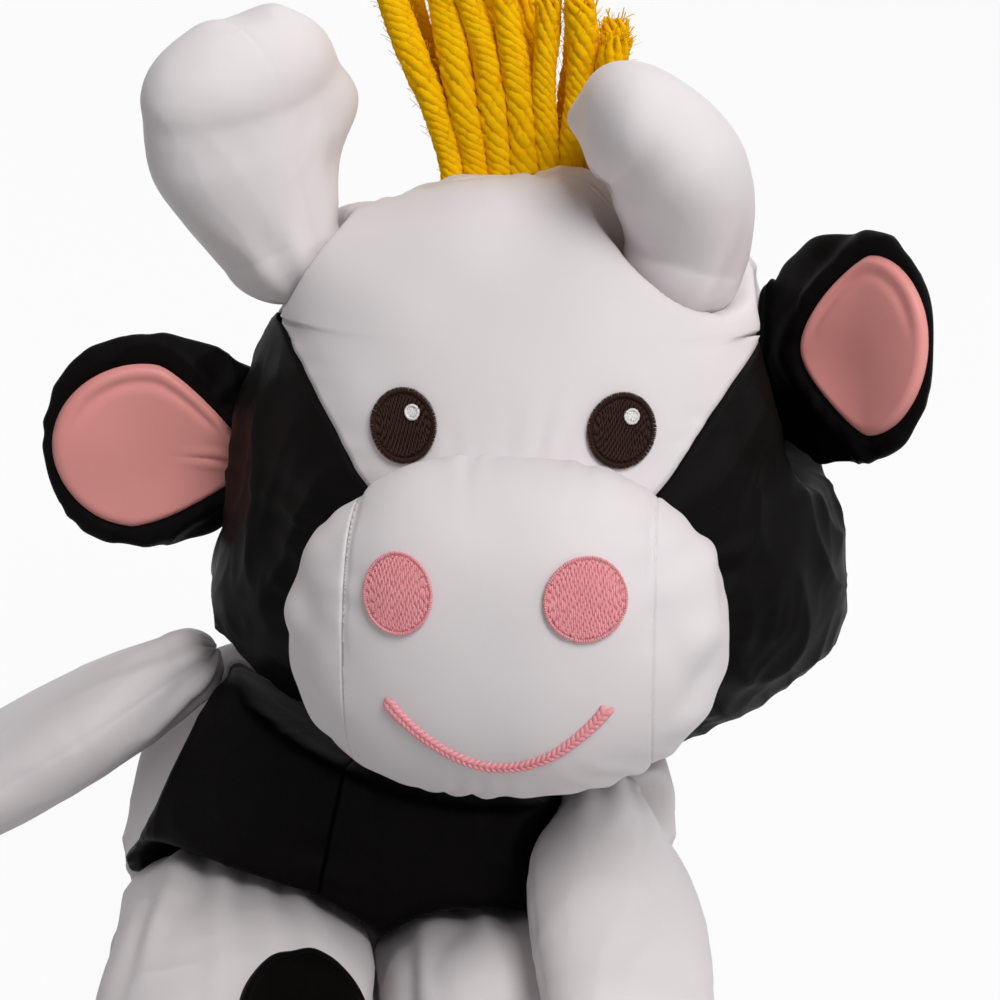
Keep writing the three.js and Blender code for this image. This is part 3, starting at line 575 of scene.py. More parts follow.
def headRelief(p):
    # seams with puckers, folds round the muzzle, a full upper corner, and crumpled cheeks and back
    x, y, z = p[..., 0], p[..., 1], p[..., 2]
    front = ramp(head["sideSeam"] / 2 - y, 2)
    edge = shareAt(head["blaze"], z / (head["size"][2] / 2)) * head["size"][0] / 2
    inside = (edge > 0) * (edge < head["size"][0] / 2 * 0.98)
    blaze = np.abs(np.abs(x) - edge) * 0.85
    side = np.abs(y - head["sideSeam"] / 2)
    around = np.arctan2(z, x) * 80
    low = ramp(22 - z, 6)
    rise = seam(side, around, **seams["headSide"])
    broad, fine = pucker(side, around, **puckers["cheekBroad"]), pucker(side, around, **puckers["cheek"])
    rise += low * (2.5 * broad + 1.0 * fine)
    rise += seam(blaze, z * 1.2 + 9 * np.sign(x), **seams["blaze"]) * front * inside
    rise += seam(np.abs(x), z, **seams["headBack"]) * (1 - front)
    wide, high, square = 56, 43, 2.3
    middle = (np.abs(x) / wide) ** square + (np.abs(z + muzzle["drop"]) / high) ** square
    ring = np.abs(middle ** (1 / square) - 1) * 48
    angle = np.arctan2(z + muzzle["drop"], x) * 50
    rise += 0.9 * pucker(ring, angle, **puckers["faceRing"]) * front * (0.15 + 0.85 * ramp(np.abs(x) - 44, 4))
    rise += 0.7 * ripple(p, 60, 11) + 0.16 * ripple(p, 24, 12)
    rise += 6.0 * np.exp(-((z - 56) / 13) ** 2) * ramp(-x - 46, 6)
    cheeks = ramp(np.abs(x) - edge - 5, 3) * front
    tall = p * [1, 1, 0.6]
    rise += cheeks * (2.0 * crumple(tall, 34, 14, 0.9) + 0.5 * crumple(tall, 14, 18, 0.9))
    return rise + (1 - front) * (1.2 * ripple(tall, 30, 15) + 0.3 * ripple(tall, 12, 16))


def muzzleRelief(p):
    # puckers round the root, the side seams above, creases that fan out below, and a soft unevenness
    x, y, z = p[..., 0], p[..., 1], p[..., 2] + muzzle["drop"]
    angle = np.arctan2(z, x)
    rise = 1.2 * pucker(np.abs(y + 50), angle * 48, **puckers["muzzleRoot"])
    rise += 0.9 * pucker(np.abs(y + 58), angle * 48, **puckers["muzzleBroad"]) * ramp(np.abs(x) - 34, 6)
    high = ramp(z - 4, 4)
    rise += seam(np.abs(np.abs(x) - muzzle["seam"]), z + 40 * np.sign(x), **seams["muzzle"]) * high
    low = np.clip(-(z + 20) / 14, 0, 1) * np.clip((y + 106) / 22, 0, 1)
    rise += 0.6 * low * np.sin(angle * 30 + 1.5 * ripple(p, 34, 21)) * (0.6 + 0.4 * np.sin(angle * 7 + 1))
    rise += 0.6 * np.clip((np.abs(x) - 34) / 14, 0, 1) * ripple(p * [1, 1, 1.6], 17, 24)
    return rise + 0.55 * ripple(p, 48, 22) + 0.12 * ripple(p, 20, 23)


def sideSeams(height):
    # where the side seams lie, left and right: each bends round its arm's root near the top
    left, right = 9 * ramp(height - 0.76, 0.03), 18 * ramp(height - 0.62, 0.09)
    return torso["sideSeam"] - left, torso["sideSeam"] - torso["seamShift"] + right


def torsoRelief(p):
    # seams with puckers, crumpled cloth, and folds that gather at the neck
    x, y, z = p[..., 0], p[..., 1], p[..., 2]
    side, other = sideSeams((z + torso["sunk"]) / torso["size"][2])
    seamAt = np.where(x < 0, other, side)
    front = ramp(seamAt - y, 2)
    high = ramp(z - torso["seatSeam"], 2)
    rise = seam(np.abs(y - seamAt), z, **seams["torsoSide"]) * high
    rise += seam(np.abs(x - torso["chestSeam"]), z, **seams["chest"]) * front * high
    rise += seam(np.abs(x), z, **seams["back"]) * (1 - front) * high
    rise += seam(np.abs(z - torso["seatSeam"]), np.arctan2(y, x) * 60, **seams["seat"])
    rise += 1.4 * crumple(p * [1, 1, 0.6], 40, 31, 0.9) + 0.5 * crumple(p * [1, 1, 0.6], 18, 35, 0.9)
    neckFolds = np.clip((z - 70) / 40, 0, 1)
    return rise + neckFolds * 0.7 * np.sin(np.arctan2(y, x - 12) * 13 + ripple(p, 30, 34))


def limbRelief(s):
    # folds that gather at the root, a faint seam down both edges, small corners and a soft unevenness
    def relief(p):
        x, y, z = p[..., 0], p[..., 1], p[..., 2]
        angle = np.arctan2(z, y)
        start = np.exp(-(np.maximum(x, 0) / s["reach"]) ** 1.3)
        rise = s["fold"] * start * np.sin(angle * s["gathers"] + 1.2 * ripple(p * [0.4, 1, 1], 26, s["seed"]))
        rise += s.get("seam", 0.4) * seam(np.abs(y), x, s["seed"] * 0.7, **seams["limb"])
        rise += s.get("soft", 0.8) * ripple(p * [0.6, 1, 1], 34, s["seed"] + 1)
        for corner, size, reach in s.get("corners", ()):
            rise += size * np.exp(-(((p - corner) ** 2).sum(-1)) / reach ** 2)
        return rise + s.get("fine", 0.25) * crumple(p * [0.7, 1, 1], 17, s["seed"] + 2, 0.9)
    return relief


# Meshes


def makeObject(name, verts, faces, uv=None):
    mesh = bpy.data.meshes.new(name)
    mesh.from_pydata(verts.reshape(-1, 3).tolist(), [], faces.tolist())
    if uv is not None:
        layer = mesh.uv_layers.new(name="cloth")
        index = np.zeros(len(mesh.loops), np.int32)
        mesh.loops.foreach_get("vertex_index", index)
        layer.data.foreach_set("uv", uv.reshape(-1, 2)[index].astype(np.float32).ravel())
    mesh.update()
    return addObject(name, mesh)


def edited(mesh, edit, into=None):
    # an edit done on a mesh, and written back to it or into another one
    made = bmesh.new()
    made.from_mesh(mesh)
    edit(made)
    made.to_mesh(into or mesh)
    made.free()


def tidyMesh(obj, recalculate=False):
    # merges points that fall together, such as those of a pole, and shades the mesh smooth
    def edit(made):
        bmesh.ops.remove_doubles(made, verts=made.verts, dist=1e-6)
        if recalculate:
            bmesh.ops.recalc_face_normals(made, faces=made.faces)

    edited(obj.data, edit)
    obj.data.polygons.foreach_set("use_smooth", np.ones(len(obj.data.polygons), bool))
    obj.data.update()


def dropLoose(obj):
    def edit(made):
        bmesh.ops.delete(made, geom=[v for v in made.verts if not v.link_faces], context="VERTS")

    edited(obj.data, edit)


def addWall(obj, thick):
    wall = obj.modifiers.new("wall", "SOLIDIFY")
    wall.thickness = thick * mm
    wall.offset = -1


def gridFaces(rows, columns, closed):
    # quads of a grid, facing out where its rows run from the first pole to the last
    i, j = np.meshgrid(np.arange(rows - 1), np.arange(columns if closed else columns - 1), indexing="ij")
    k = (j + 1) % columns
    quads = [i * columns + j, i * columns + k, (i + 1) * columns + k, (i + 1) * columns + j]
    return np.stack([q.ravel() for q in quads], -1)


def dressed(form, relief, matrix, tests=(), grow=0):
    # a form pushed along its normals by its relief, and pressed in where other pieces lie
    def place(u, v):
        p, n = form(u, v), normalOf(form, u, v)
        return moved(matrix, p + n * relief(p)[..., None]), n @ matrix[:3, :3].T

    pressed = pressedField(place, tests, grow) if tests else None

    def surface(u, v):
        out, n = place(u, v)
        return out if pressed is None else out - n * pressed(u, v)[..., None]

    return surface


wallThick = 0.7


def panelPiece(name, body, material, fill, surface, u, low, high, columns, measure, keep=None):
    # a sheet between two edges, each an angle at every row, with a wall of its own
    share = np.linspace(0, 1, columns)
    v = low[:, None] * (1 - share) + high[:, None] * share
    uu = np.repeat(u[:, None], columns, 1)
    obj = skinObject(name, surface(uu, v), uu, v, measure, keep, False)
    addWall(obj, wallThick)
    finishPiece(obj, material, body, name)


def closedSkin(name, surface, rows, columns, measure, keep=None):
    # a closed skin from pole to pole
    uu, vv = np.meshgrid(np.linspace(0, 1, rows), np.arange(columns) / columns, indexing="ij")
    points = surface(uu, vv)
    points[0], points[-1] = points[0].mean(0), points[-1].mean(0)
    return skinObject(name, points, uu, vv, measure, keep, True)


def skinPiece(name, body, material, fill, *skin):
    # a closed skin as a finished piece
    finishPiece(closedSkin(name, *skin), material, body, name)


def skinObject(name, points, u, v, measure, keep, closed):
    # the faces of a grid of points, those alone that are kept, with a map as large as the cloth
    faces = gridFaces(*u.shape, closed)
    if keep is not None:
        faces = faces[keep(points.reshape(-1, 3)[faces].mean(1))]
    obj = makeObject(name, points * mm, faces, np.stack([v * tau, u * np.pi], -1) * measure * mm)
    dropLoose(obj)
    tidyMesh(obj)
    return obj


# Materials


def newGroup(name, inputs, outputs):
    group = bpy.data.node_groups.new(name, "ShaderNodeTree")
    for label in inputs:
        group.interface.new_socket(label, in_out="INPUT", socket_type="NodeSocketFloat")
    for label in outputs:
        group.interface.new_socket(label, in_out="OUTPUT", socket_type="NodeSocketFloat")
    return group, group.nodes.new("NodeGroupInput"), group.nodes.new("NodeGroupOutput")


def makeWeave():
    # fine threads that cross on the piece's own map, with a faint slant where they pass over each other; the
    # slant adds to the bump height, and the second output is painted sheen: faint lighter and darker diagonal
    # stripes that the material mixes into the colour
    group, given, out = newGroup("nylon weave", ["Threads"], ["Height", "Painted Sheen"])
    uv = added(group, "ShaderNodeUVMap", uv_map="cloth").outputs[0]
    split = added(group, "ShaderNodeSeparateXYZ", {0: uv}).outputs
    x, y = (maths(group, "MULTIPLY", split[i], given.outputs["Threads"]) for i in range(2))
    warp, weft = (maths(group, "SINE", maths(group, "MULTIPLY", along, tau)) for along in (x, y))
    slant = maths(group, "SINE", maths(group, "MULTIPLY", maths(group, "ADD", x, y), tau / 2))
    height = maths(group, "MULTIPLY_ADD", maths(group, "MULTIPLY", warp, weft), 0.5, 0.5)
    group.links.new(maths(group, "MULTIPLY_ADD", slant, 0.15, height), out.inputs["Height"])
    group.links.new(maths(group, "MULTIPLY_ADD", slant, 0.5, 0.5), out.inputs["Painted Sheen"])
    return group


def makeMottle():
    # slow and quick unevenness of the cloth, from none to one
    group, given, out = newGroup("mottle", ["Size"], ["Slow", "Quick"])
    place = added(group, "ShaderNodeTexCoord").outputs["Object"]
    for label, share, seed in (("Slow", 1.0, 0.0), ("Quick", 5.0, 7.0)):
        scale = maths(group, "MULTIPLY", given.outputs["Size"], share)
        inputs = {"Vector": place, "W": seed, "Scale": scale, "Detail": 3.0}
        noise = added(group, "ShaderNodeTexNoise", inputs, noise_dimensions="4D")
        group.links.new(noise.outputs[0], out.inputs[label])
    return group


weaveGroup = makeWeave()
mottleGroup = makeMottle()

bumpHeight = 0.0002
# a cloth has the weave and slow mottling, a thread quick mottling alone
kinds = {
    "cloth": {"threads": 2100, "mottle": 14, "uneven": 0.16, "sheenRough": 0.4},
    "thread": {"threads": 0, "mottle": 260, "uneven": 0.2, "sheenRough": 0.5},
}
looks = {
    "white nylon": {
        "kind": "cloth", "colour": (0.78, 0.735, 0.745), "shade": (0.71, 0.655, 0.67),
        "rough": 0.55, "sheen": 0.12, "gloss": 0.25, "bump": 0.1, "slot": "white_cloth",
    },
    "black nylon": {
        "kind": "cloth", "colour": (0.0042, 0.0034, 0.0032), "shade": (0.0014, 0.0011, 0.001),
        "rough": 0.45, "sheen": 0.0, "gloss": 0.04, "bump": 0.25, "slot": "black_cloth",
    },
    "pink satin": {
        "kind": "cloth", "colour": (0.86, 0.36, 0.33), "shade": (0.76, 0.27, 0.25),
        "rough": 0.4, "sheen": 0.1, "gloss": 0.3, "bump": 0.1, "slot": "pink_satin",
    },
    "fibre": {
        "kind": "cloth", "colour": (0.80, 0.79, 0.75), "shade": (0.70, 0.69, 0.65),
        "rough": 0.9, "sheen": 0.3, "gloss": 0.1, "bump": 0.5, "slot": "fibre",
    },
    "pink thread": {
        "kind": "thread", "colour": (0.86, 0.37, 0.40), "shade": (0.76, 0.28, 0.31),
        "rough": 0.45, "sheen": 0.1, "gloss": 0.3, "bump": 0.35, "slot": "pink_thread",
    },
    "brown thread": {
        "kind": "thread", "colour": (0.036, 0.012, 0.007), "shade": (0.014, 0.005, 0.003),
        "rough": 0.45, "sheen": 0.0, "gloss": 0.14, "bump": 0.35, "slot": "brown_thread",
    },
    "white thread": {
        "kind": "thread", "colour": (0.86, 0.84, 0.83), "shade": (0.74, 0.72, 0.71),
        "rough": 0.4, "sheen": 0.1, "gloss": 0.4, "bump": 0.35, "slot": "white_thread",
    },
    "golden yarn": {
        "kind": "thread", "colour": (0.96, 0.60, 0.005), "shade": (0.88, 0.44, 0.0),
        "rough": 0.9, "sheen": 0.0, "gloss": 0.05, "bump": 0.35, "slot": "yellow_yarn",
    },
}


def makeMaterial(name, s, kind):
    # two colours mixed by the mottling and, on cloth, by the weave's painted sheen stripes, and a bump of the
    # mottling and the weave
    material = bpy.data.materials.new(name)
    tree = emptied(material)
    mottle = added(tree, "ShaderNodeGroup", node_tree=mottleGroup)
    mottle.inputs["Size"].default_value = kind["mottle"]
    quick = mottle.outputs["Quick"]
    share, height = mottle.outputs["Slow"], quick
    if kind["threads"]:
        weave = added(tree, "ShaderNodeGroup", node_tree=weaveGroup)
        weave.inputs["Threads"].default_value = kind["threads"]
        # painted sheen: the weave's diagonal stripes lighten and darken the cloth's colour a little
        share = maths(tree, "MULTIPLY_ADD", weave.outputs["Painted Sheen"], 0.12, share)
        height = maths(tree, "MULTIPLY_ADD", quick, 0.6, weave.outputs["Height"])
    colours = {"A": (*s["shade"], 1), "B": (*s["colour"], 1), "Factor": share}
    bump = {"Strength": s["bump"], "Distance": bumpHeight, "Height": height}
    shader = added(tree, "ShaderNodeBsdfPrincipled", {
        "Base Color": added(tree, "ShaderNodeMix", colours, data_type="RGBA").outputs["Result"],
        "Normal": added(tree, "ShaderNodeBump", bump).outputs[0],
        "Roughness": maths(tree, "MULTIPLY_ADD", quick, kind["uneven"], s["rough"] - kind["uneven"] / 2),
        "Sheen Weight": s["sheen"], "Sheen Roughness": kind["sheenRough"], "Specular IOR Level": s["gloss"],
    })
    added(tree, "ShaderNodeOutputMaterial", {0: shader.outputs[0]})
    return material


materials = {name: makeMaterial(name, s, kinds[s["kind"]]) for name, s in looks.items()}


def finishPiece(obj, material, body, stands):
    # gives a piece its material and body, and the node that it stands for
    obj.name = f"{stands}_sewn"
    obj.data.materials.append(materials[material])
    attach(obj, body)
    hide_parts(stands)
    return obj


# Head

# how far a cover or a filling stays from what presses into it, and how much further from some forms
coverGap, fillingGap = 0.5, 3.5
further = {"head": 2.4, "muzzle": 1.1, "neck": 1.7}


def toHead(p):
    return moved(np.linalg.inv(headFrame), p)


def neckTest(gap):
    reach = neck["radius"] + gap + further["neck"]
    return lambda p: np.linalg.norm(p - np.array(neck["at"]), axis=-1) < reach


def headTests(gap):
    parts = swung("horn") + swung("ear")
    return [lambda p, part=part: inLimb(part, toHead(p), gap) for part in parts] + [neckTest(gap)]


headSurface = dressed(headPoint, headRelief, headFrame, headTests(coverGap))


def headAngles(u):
    # angles of the side seam and of the blaze's edge on the cow's left, at each row
    across, depth = headSection(u)
    height = -np.cos(np.pi * u)
    reach = (head["sideSeam"] / 2 - head["lean"] * height) / np.maximum(depth, 1e-6)
    side = np.arcsin(np.clip(np.sign(reach) * np.abs(reach) ** (head["square"] / 2), -1, 1))
    edge = shareAt(head["blaze"], height) * head["size"][0] / 2
    edge = np.where(height < head["blaze"][0][0], 0, edge)
    share = np.clip(edge / np.maximum(across, 1e-6), 0, 1)
    blaze = np.where(share >= 1, side, -np.arccos(share ** (head["square"] / 2)))
    return side / tau, np.minimum(blaze, side) / tau


def buildHeadCovers():
    # a face panel with the blaze, and a cheek and a back panel on each side, all cut from one surface
    u = np.linspace(0, 1, 170)
    side, blaze = headAngles(u)
    front, back, least = -0.25, 0.25, 1e-4

    def offMuzzle(p):
        return ~inMuzzle(toHead(p), -4.0)

    def rowsWhere(mask):
        kept = u[mask]
        return np.linspace(kept[0], kept[-1], len(kept))

    faceRows = rowsWhere((side > front + least) & (blaze > front + least))
    half = headAngles(faceRows)[1] - front
    edges = front - half, front + half
    panelPiece("face_panel", "head", "white nylon", 0.75, headSurface, faceRows, *edges, 150, 80, offMuzzle)

    cheekRows, backRows = rowsWhere(side - blaze > least), rowsWhere(side < back - least)
    sheets = (
        ("cheek_panel", "black nylon", cheekRows, *headAngles(cheekRows)[::-1], 90, offMuzzle),
        ("head_back", "white nylon", backRows, headAngles(backRows)[0], 0 * backRows + back, 100, None),
    )
    for side in ways:
        for kind, material, rows, low, high, columns, keep in sheets:
            edges = (low, high) if side == "left" else (0.5 - high, 0.5 - low)
            panelPiece(f"{kind}_{side}", "head", material, 0.7, headSurface, rows, *edges, columns, 80, keep)


def lumps(seed):
    return lambda p: 0.8 * ripple(p, 22, seed) + 0.3 * ripple(p, 8, seed + 1) - 5.5


def buildHeadFilling():
    tests = [*headTests(fillingGap), lambda p: inMuzzle(toHead(p), 0.0)]
    surface = dressed(headPoint, lumps(41), headFrame, tests, grow=2)
    skinPiece("head_stuffing", "head", "fibre", 0.8, surface, 90, 130, 80)
    skinPiece("muzzle_stuffing", "head", "fibre", 0.8, dressed(muzzlePoint, lumps(43), headFrame), 60, 90, 50)


# Muzzle

muzzleSurface = dressed(muzzlePoint, muzzleRelief, headFrame)


def buildMuzzleCovers():
    # one skin, cut along two upright planes; the side panels run a little under the middle one
    skin = closedSkin("muzzle_skin", muzzleSurface, 190, 300, 50, lambda p: ~inHead(toHead(p), -3.0))
    under, bend, sunk = 1.5, 0.6, 0.45
    edge = muzzle["seam"]
    cuts = {
        "muzzle_centre_panel": ((edge, 1, "outer"), (-edge, -1, "outer")),
        "muzzle_side_left": ((edge + bend, 1, ""), (edge, 1, ""), (edge - under, 1, "inner")),
        "muzzle_side_right": ((-edge - bend, -1, ""), (-edge, -1, ""), (under - edge, -1, "inner")),
    }
    for name, planes in cuts.items():
        def cut(made):
            for x, way, cleared in planes:
                bmesh.ops.bisect_plane(
                    made, geom=[*made.verts, *made.edges, *made.faces], dist=1e-6,
                    plane_co=moved(headFrame, np.array([x, 0, 0])) * mm, plane_no=headFrame[:3, 0] * way,
                    clear_outer=cleared == "outer", clear_inner=cleared == "inner",
                )

        mesh = bpy.data.meshes.new(name)
        edited(skin.data, cut, mesh)
        if "side" in name:
            at, out = np.zeros((2, len(mesh.vertices), 3), np.float32)
            mesh.vertices.foreach_get("co", at.ravel())
            mesh.vertices.foreach_get("normal", out.ravel())
            low = sunk * mm * np.clip((edge + bend - np.abs(toHead(at / mm)[:, 0])) / bend, 0, 1)
            mesh.vertices.foreach_set("co", (at - out * low[:, None]).astype(np.float32).ravel())
        obj = addObject(name, mesh)
        addWall(obj, wallThick)
        finishPiece(obj, "white nylon", "head", name)
    bpy.data.objects.remove(skin)


# Embroidery: many short threads, each a spindle of six sides


def stitches(name, at, way, out, long, wide, rise):
    # rings of points round each thread's line: full in its middle and closed at its ends
    way, out = unit(way), unit(out)
    side = unit(np.cross(out, way))
    out = unit(np.cross(way, side))
    steps = np.array([-1, -0.82, -0.35, 0.35, 0.82, 1.0])
    full = np.array([0.12, 0.75, 1, 1, 0.75, 0.12])
    around = np.arange(6) / 6 * tau
    count = len(at)
    long, wide, rise = (np.broadcast_to(np.asarray(x, float), (count,)) for x in (long, wide, rise))
    line = at[:, None, :] + way[:, None, :] * (steps[None, :, None] * long[:, None, None] / 2)
    line = line - out[:, None, :] * (steps[None, :, None] ** 2 * rise[:, None, None] * 0.55)
    across = np.cos(around)[None, None, :, None] * side[:, None, None, :] * wide[:, None, None, None] / 2
    up = np.sin(around)[None, None, :, None] * out[:, None, None, :] * rise[:, None, None, None] / 2
    points = line[:, :, None, :] + (across + up) * full[None, :, None, None]
    one = gridFaces(6, 6, True)[:, ::-1]
    caps = np.array([[0, 1, 2, 3], [0, 3, 4, 5], [35, 34, 33, 32], [35, 32, 31, 30]])
    one = np.concatenate([one, caps])
    faces = (one[None] + (np.arange(count) * 36)[:, None, None]).reshape(-1, 4)
    obj = makeObject(name, points * mm, faces)
    tidyMesh(obj, recalculate=True)
    return obj


def onFace(x, z, lift=0.0):
    # the place and outward direction on the face at a point of its front view
    height = z / (head["size"][2] / 2)
    u = np.arccos(np.clip(-height, -1, 1)) / np.pi
    across, _ = headSection(u)
    share = np.clip(np.abs(x) / across, 0, 1) ** (head["square"] / 2)
    v = -np.arccos(np.sign(x) * share) / tau
    return u, v, headPoint, headRelief, lift


def onMuzzle(x, z, lift=0.0):
    # the same on the muzzle: the ring through the point gives its row
    across, up = x / (muzzle["size"][0] / 2), (z + muzzle["drop"]) / (muzzle["size"][1] / 2)
    square = muzzle["square"]
    ring = (np.abs(across) ** square + np.abs(up) ** square) ** (1 / square)
    rows = np.linspace(1, 0.5, 400)
    u = np.interp(ring, muzzleRing(rows), rows)
    high, wide = np.sign(up) * np.abs(up) ** (square / 2), np.sign(across) * np.abs(across) ** (square / 2)
    v = np.arctan2(high, wide) / tau
    return u, v, muzzlePoint, muzzleRelief, lift


def seated(u, v, form, relief, lift):
    p, n = form(u, v), normalOf(form, u, v)
    out = p + n * (relief(p) + lift)[..., None]
    return moved(headFrame, out), n @ headFrame[:3, :3].T


def satinOval(name, onto, s, seed):
    # upright rows of threads fill an oval, and a border of short threads runs round it
    draw = np.random.default_rng(seed)
    wide, high = s["size"]
    cx, cz = s["at"]
    lean = np.radians(s["lean"])

    def toFace(a, b):
        return cx + a * np.cos(lean) - b * np.sin(lean), cz + a * np.sin(lean) + b * np.cos(lean)

    columns = int(wide / s["thread"])
    at, long = [], []
    border = 1 - s["border"] / (wide / 2)
    for k, a in enumerate(((np.arange(columns) + 0.5) / columns * 2 - 1) * border):
        half = high / 2 * border * np.sqrt(max(1 - (a / border) ** 2, 0))
        count = max(int(round(2 * half / s["stitch"])), 1)
        shift = (k * s["step"]) % 1
        ends = np.clip((np.arange(-1, count + 1) + shift) / count * 2 - 1, -1, 1) * half
        for low, up in zip(ends[:-1], ends[1:]):
            if up - low > 0.35:
                at.append((a * wide / 2, (low + up) / 2))
                long.append(up - low + 0.25)
    angles = np.arange(s["rim"]) / s["rim"] * tau
    edge = np.stack([np.cos(angles) * wide / 2, np.sin(angles) * high / 2], -1)
    radial = unit(np.stack([np.cos(angles) / wide, np.sin(angles) / high], -1))
    way = np.concatenate([np.tile([0.0, 1.0], (len(at), 1)), radial])
    at = np.concatenate([at, edge - radial * s["border"] / 2])
    long = np.concatenate([long, np.full(s["rim"], s["border"] * 1.15)])
    rim = np.arange(len(at)) >= len(at) - s["rim"]
    at = at + draw.normal(0, 0.03, at.shape)
    lift = np.where(rim, s["rise"] + 0.25, s["rise"])
    place, out = seated(*onto(*toFace(*at.T), lift))
    ahead, _ = seated(*onto(*toFace(*(at + way * 0.2).T), lift))
    threads = np.where(rim, s["thread"] * 1.12, s["thread"] * 1.25)
    return stitches(name, place, ahead - place, out, long, threads, s["thick"])


def disc(rows, columns):
    # shares from the middle to the edge, and angles round it
    return np.linspace(0, 1, rows)[:, None], np.arange(columns)[None, :] / columns * tau


def backing(onto, at, size, lean, lift):
    # a low oval pad of thread under the stitches
    r, a = disc(14, 60)
    turn = np.radians(lean)
    x, z = size[0] / 2 * r * np.cos(a), size[1] / 2 * r * np.sin(a)
    x, z = at[0] + x * np.cos(turn) - z * np.sin(turn), at[1] + x * np.sin(turn) + z * np.cos(turn)
    place, _ = seated(*onto(x, z, np.broadcast_to(lift - 0.9 * np.clip((r - 0.9) / 0.1, 0, 1), x.shape)))
    obj = makeObject("pad", place * mm, gridFaces(*x.shape, True))
    tidyMesh(obj)
    return obj


def joinInto(main, other):
    bpy.ops.object.select_all(action="DESELECT")
    other.select_set(True)
    main.select_set(True)
    bpy.context.view_layer.objects.active = main
    bpy.ops.object.join()
    return main


def embroider(name, onto, s, material, seed, padSize, padLift):
    # an oval of stitches and its pad as one piece
    obj = satinOval(name, onto, s, seed)
    pad = backing(onto, s["at"], padSize, s["lean"], s["lift"] + padLift)
    finishPiece(joinInto(obj, pad), material, "head", name)


eyes = {
    "size": (17.2, 18.2), "spacing": 54.4, "rise": 20.8, "lean": 8, "thread": 0.42, "stitch": 2.4, "step": 0.38,
    "border": 1.5, "rim": 120, "lift": 0.55, "thick": 0.6,
}
glints = {
    "size": 3.9, "across": 2.3, "up": 3.2, "lift": 1.0, "pad": 3.2, "padLift": 0.8, "border": 0.7, "rim": 30,
    "stitch": 3.0,
}
nostrils = {
    "sizes": {"right": (16.6, 18.2), "left": (19.4, 18.8)}, "spacing": 43.4, "shift": 0.9, "drop": 9.4,
    "thread": 0.5, "stitch": 2.5, "step": 0.37, "border": 0.8, "rim": 110, "lift": 0.5, "thick": 0.62,
}
mouth = {"width": 52, "drop": 35, "sag": 15.6, "round": 0.85, "thick": 3.0, "stitches": 44}


def buildEyes(s, g):
    for side, way in ways.items():
        x, z = way * s["spacing"] / 2, s["rise"]
        oval = {**s, "at": (x, z), "lean": -way * s["lean"], "rise": s["lift"] + 0.5}
        embroider(f"eye_{side}", onFace, oval, "brown thread", 51, [w - 1 for w in s["size"]], 0.2)
        glint = {
            **s, **g, "size": (g["size"], g["size"]), "at": (x + g["across"], z + g["up"]), "lean": 0,
            "rise": s["lift"] + g["lift"], "lift": s["lift"],
        }
        embroider(f"eye_glint_{side}", onFace, glint, "white thread", 52, (g["pad"], g["pad"]), g["padLift"])


def buildNostrils(s):
    for side, way in ways.items():
        at, size = (way * s["spacing"] / 2 - s["shift"], -s["drop"]), s["sizes"][side]
        oval = {**s, "at": at, "size": size, "lean": 0, "rise": s["lift"] + 0.5}
        embroider(f"nostril_{side}", onMuzzle, oval, "pink thread", 53, [w - 1 for w in size], 0.3)


def buildMouth(s):
    # a rope stitch: two rows of slanting threads along the smile, finer towards its middle
    t = (np.arange(s["stitches"]) + 0.5) / s["stitches"]

    def curve(t):
        return np.stack([(t - 0.5) * s["width"], -s["drop"] - s["sag"] * np.sin(np.pi * t) ** s["round"]], -1)

    fine = np.linspace(0.004, 0.996, 600)
    far = np.concatenate([[0], np.cumsum(np.linalg.norm(np.diff(curve(fine), axis=0), axis=-1))])
    even = np.interp(t * far[-1], far, fine)
    here = curve(even)
    way = unit(curve(np.clip(even + 0.004, 0, 1)) - here)
    across = np.stack([-way[:, 1], way[:, 0]], -1)
    thin = 0.5 * np.sin(np.pi * t) ** 0.7
    parts = []
    for share, lift, slant, shift in ((0.5, 0.5, 0.55, 0.0), (-0.5, 0.75, -0.55, 0.6)):
        at = here + across * (share * s["thick"] * 0.36 * (1.2 - thin))[:, None] + way * shift
        place, out = seated(*onMuzzle(*at.T, lift))
        ahead, _ = seated(*onMuzzle(*(at + (way + across * slant) * 0.2).T, lift))
        parts.append((place, ahead - place, out))
    at, ahead, out = (np.concatenate(part) for part in zip(*parts))
    bold = np.tile(1.25 - thin, 2)
    obj = stitches("mouth_stitch", at, ahead, out, 3.2 * bold ** 0.4, 1.4 * bold, 1.4)
    finishPiece(obj, "pink thread", "head", "mouth_stitch")


# Yarn: plies that wind round each other, with stray hairs


def tube(line, radius, around):
    # rings of points square to a line, as arrays of any number of lines
    ahead = unit(np.gradient(line, axis=-2))
    side = unit(np.cross(ahead, np.broadcast_to([0.31, 0.94, 0.12], ahead.shape)))
    up = np.cross(side, ahead)
    a = np.arange(around) / around * tau
    radius = np.broadcast_to(np.asarray(radius, float), line.shape[:-1])
    ring = np.cos(a)[:, None] * side[..., None, :] + np.sin(a)[:, None] * up[..., None, :]
    return line[..., None, :] + ring * radius[..., None, None]


def tubesObject(name, tubes):
    # one mesh of many tubes, each closed at both ends
    points, faces, start = [], [], 0
    for group in tubes:
        count, steps, around = group.shape[:3]
        fan = np.stack([np.zeros(around - 2, int), np.arange(around - 2) + 1, np.arange(around - 2) + 2], -1)
        ends = np.concatenate([fan[:, ::-1], fan + (steps - 1) * around])
        shift = (np.arange(count) * steps * around)[:, None, None] + start
        for one in (gridFaces(steps, around, True), ends):
            faces += (one[None] + shift).reshape(-1, one.shape[1]).tolist()
        points.append(group.reshape(-1, 3))
        start += count * steps * around
    mesh = bpy.data.meshes.new(name)
    mesh.from_pydata((np.concatenate(points) * mm).tolist(), [], faces)
    obj = addObject(name, mesh)
    tidyMesh(obj, recalculate=True)
    return obj


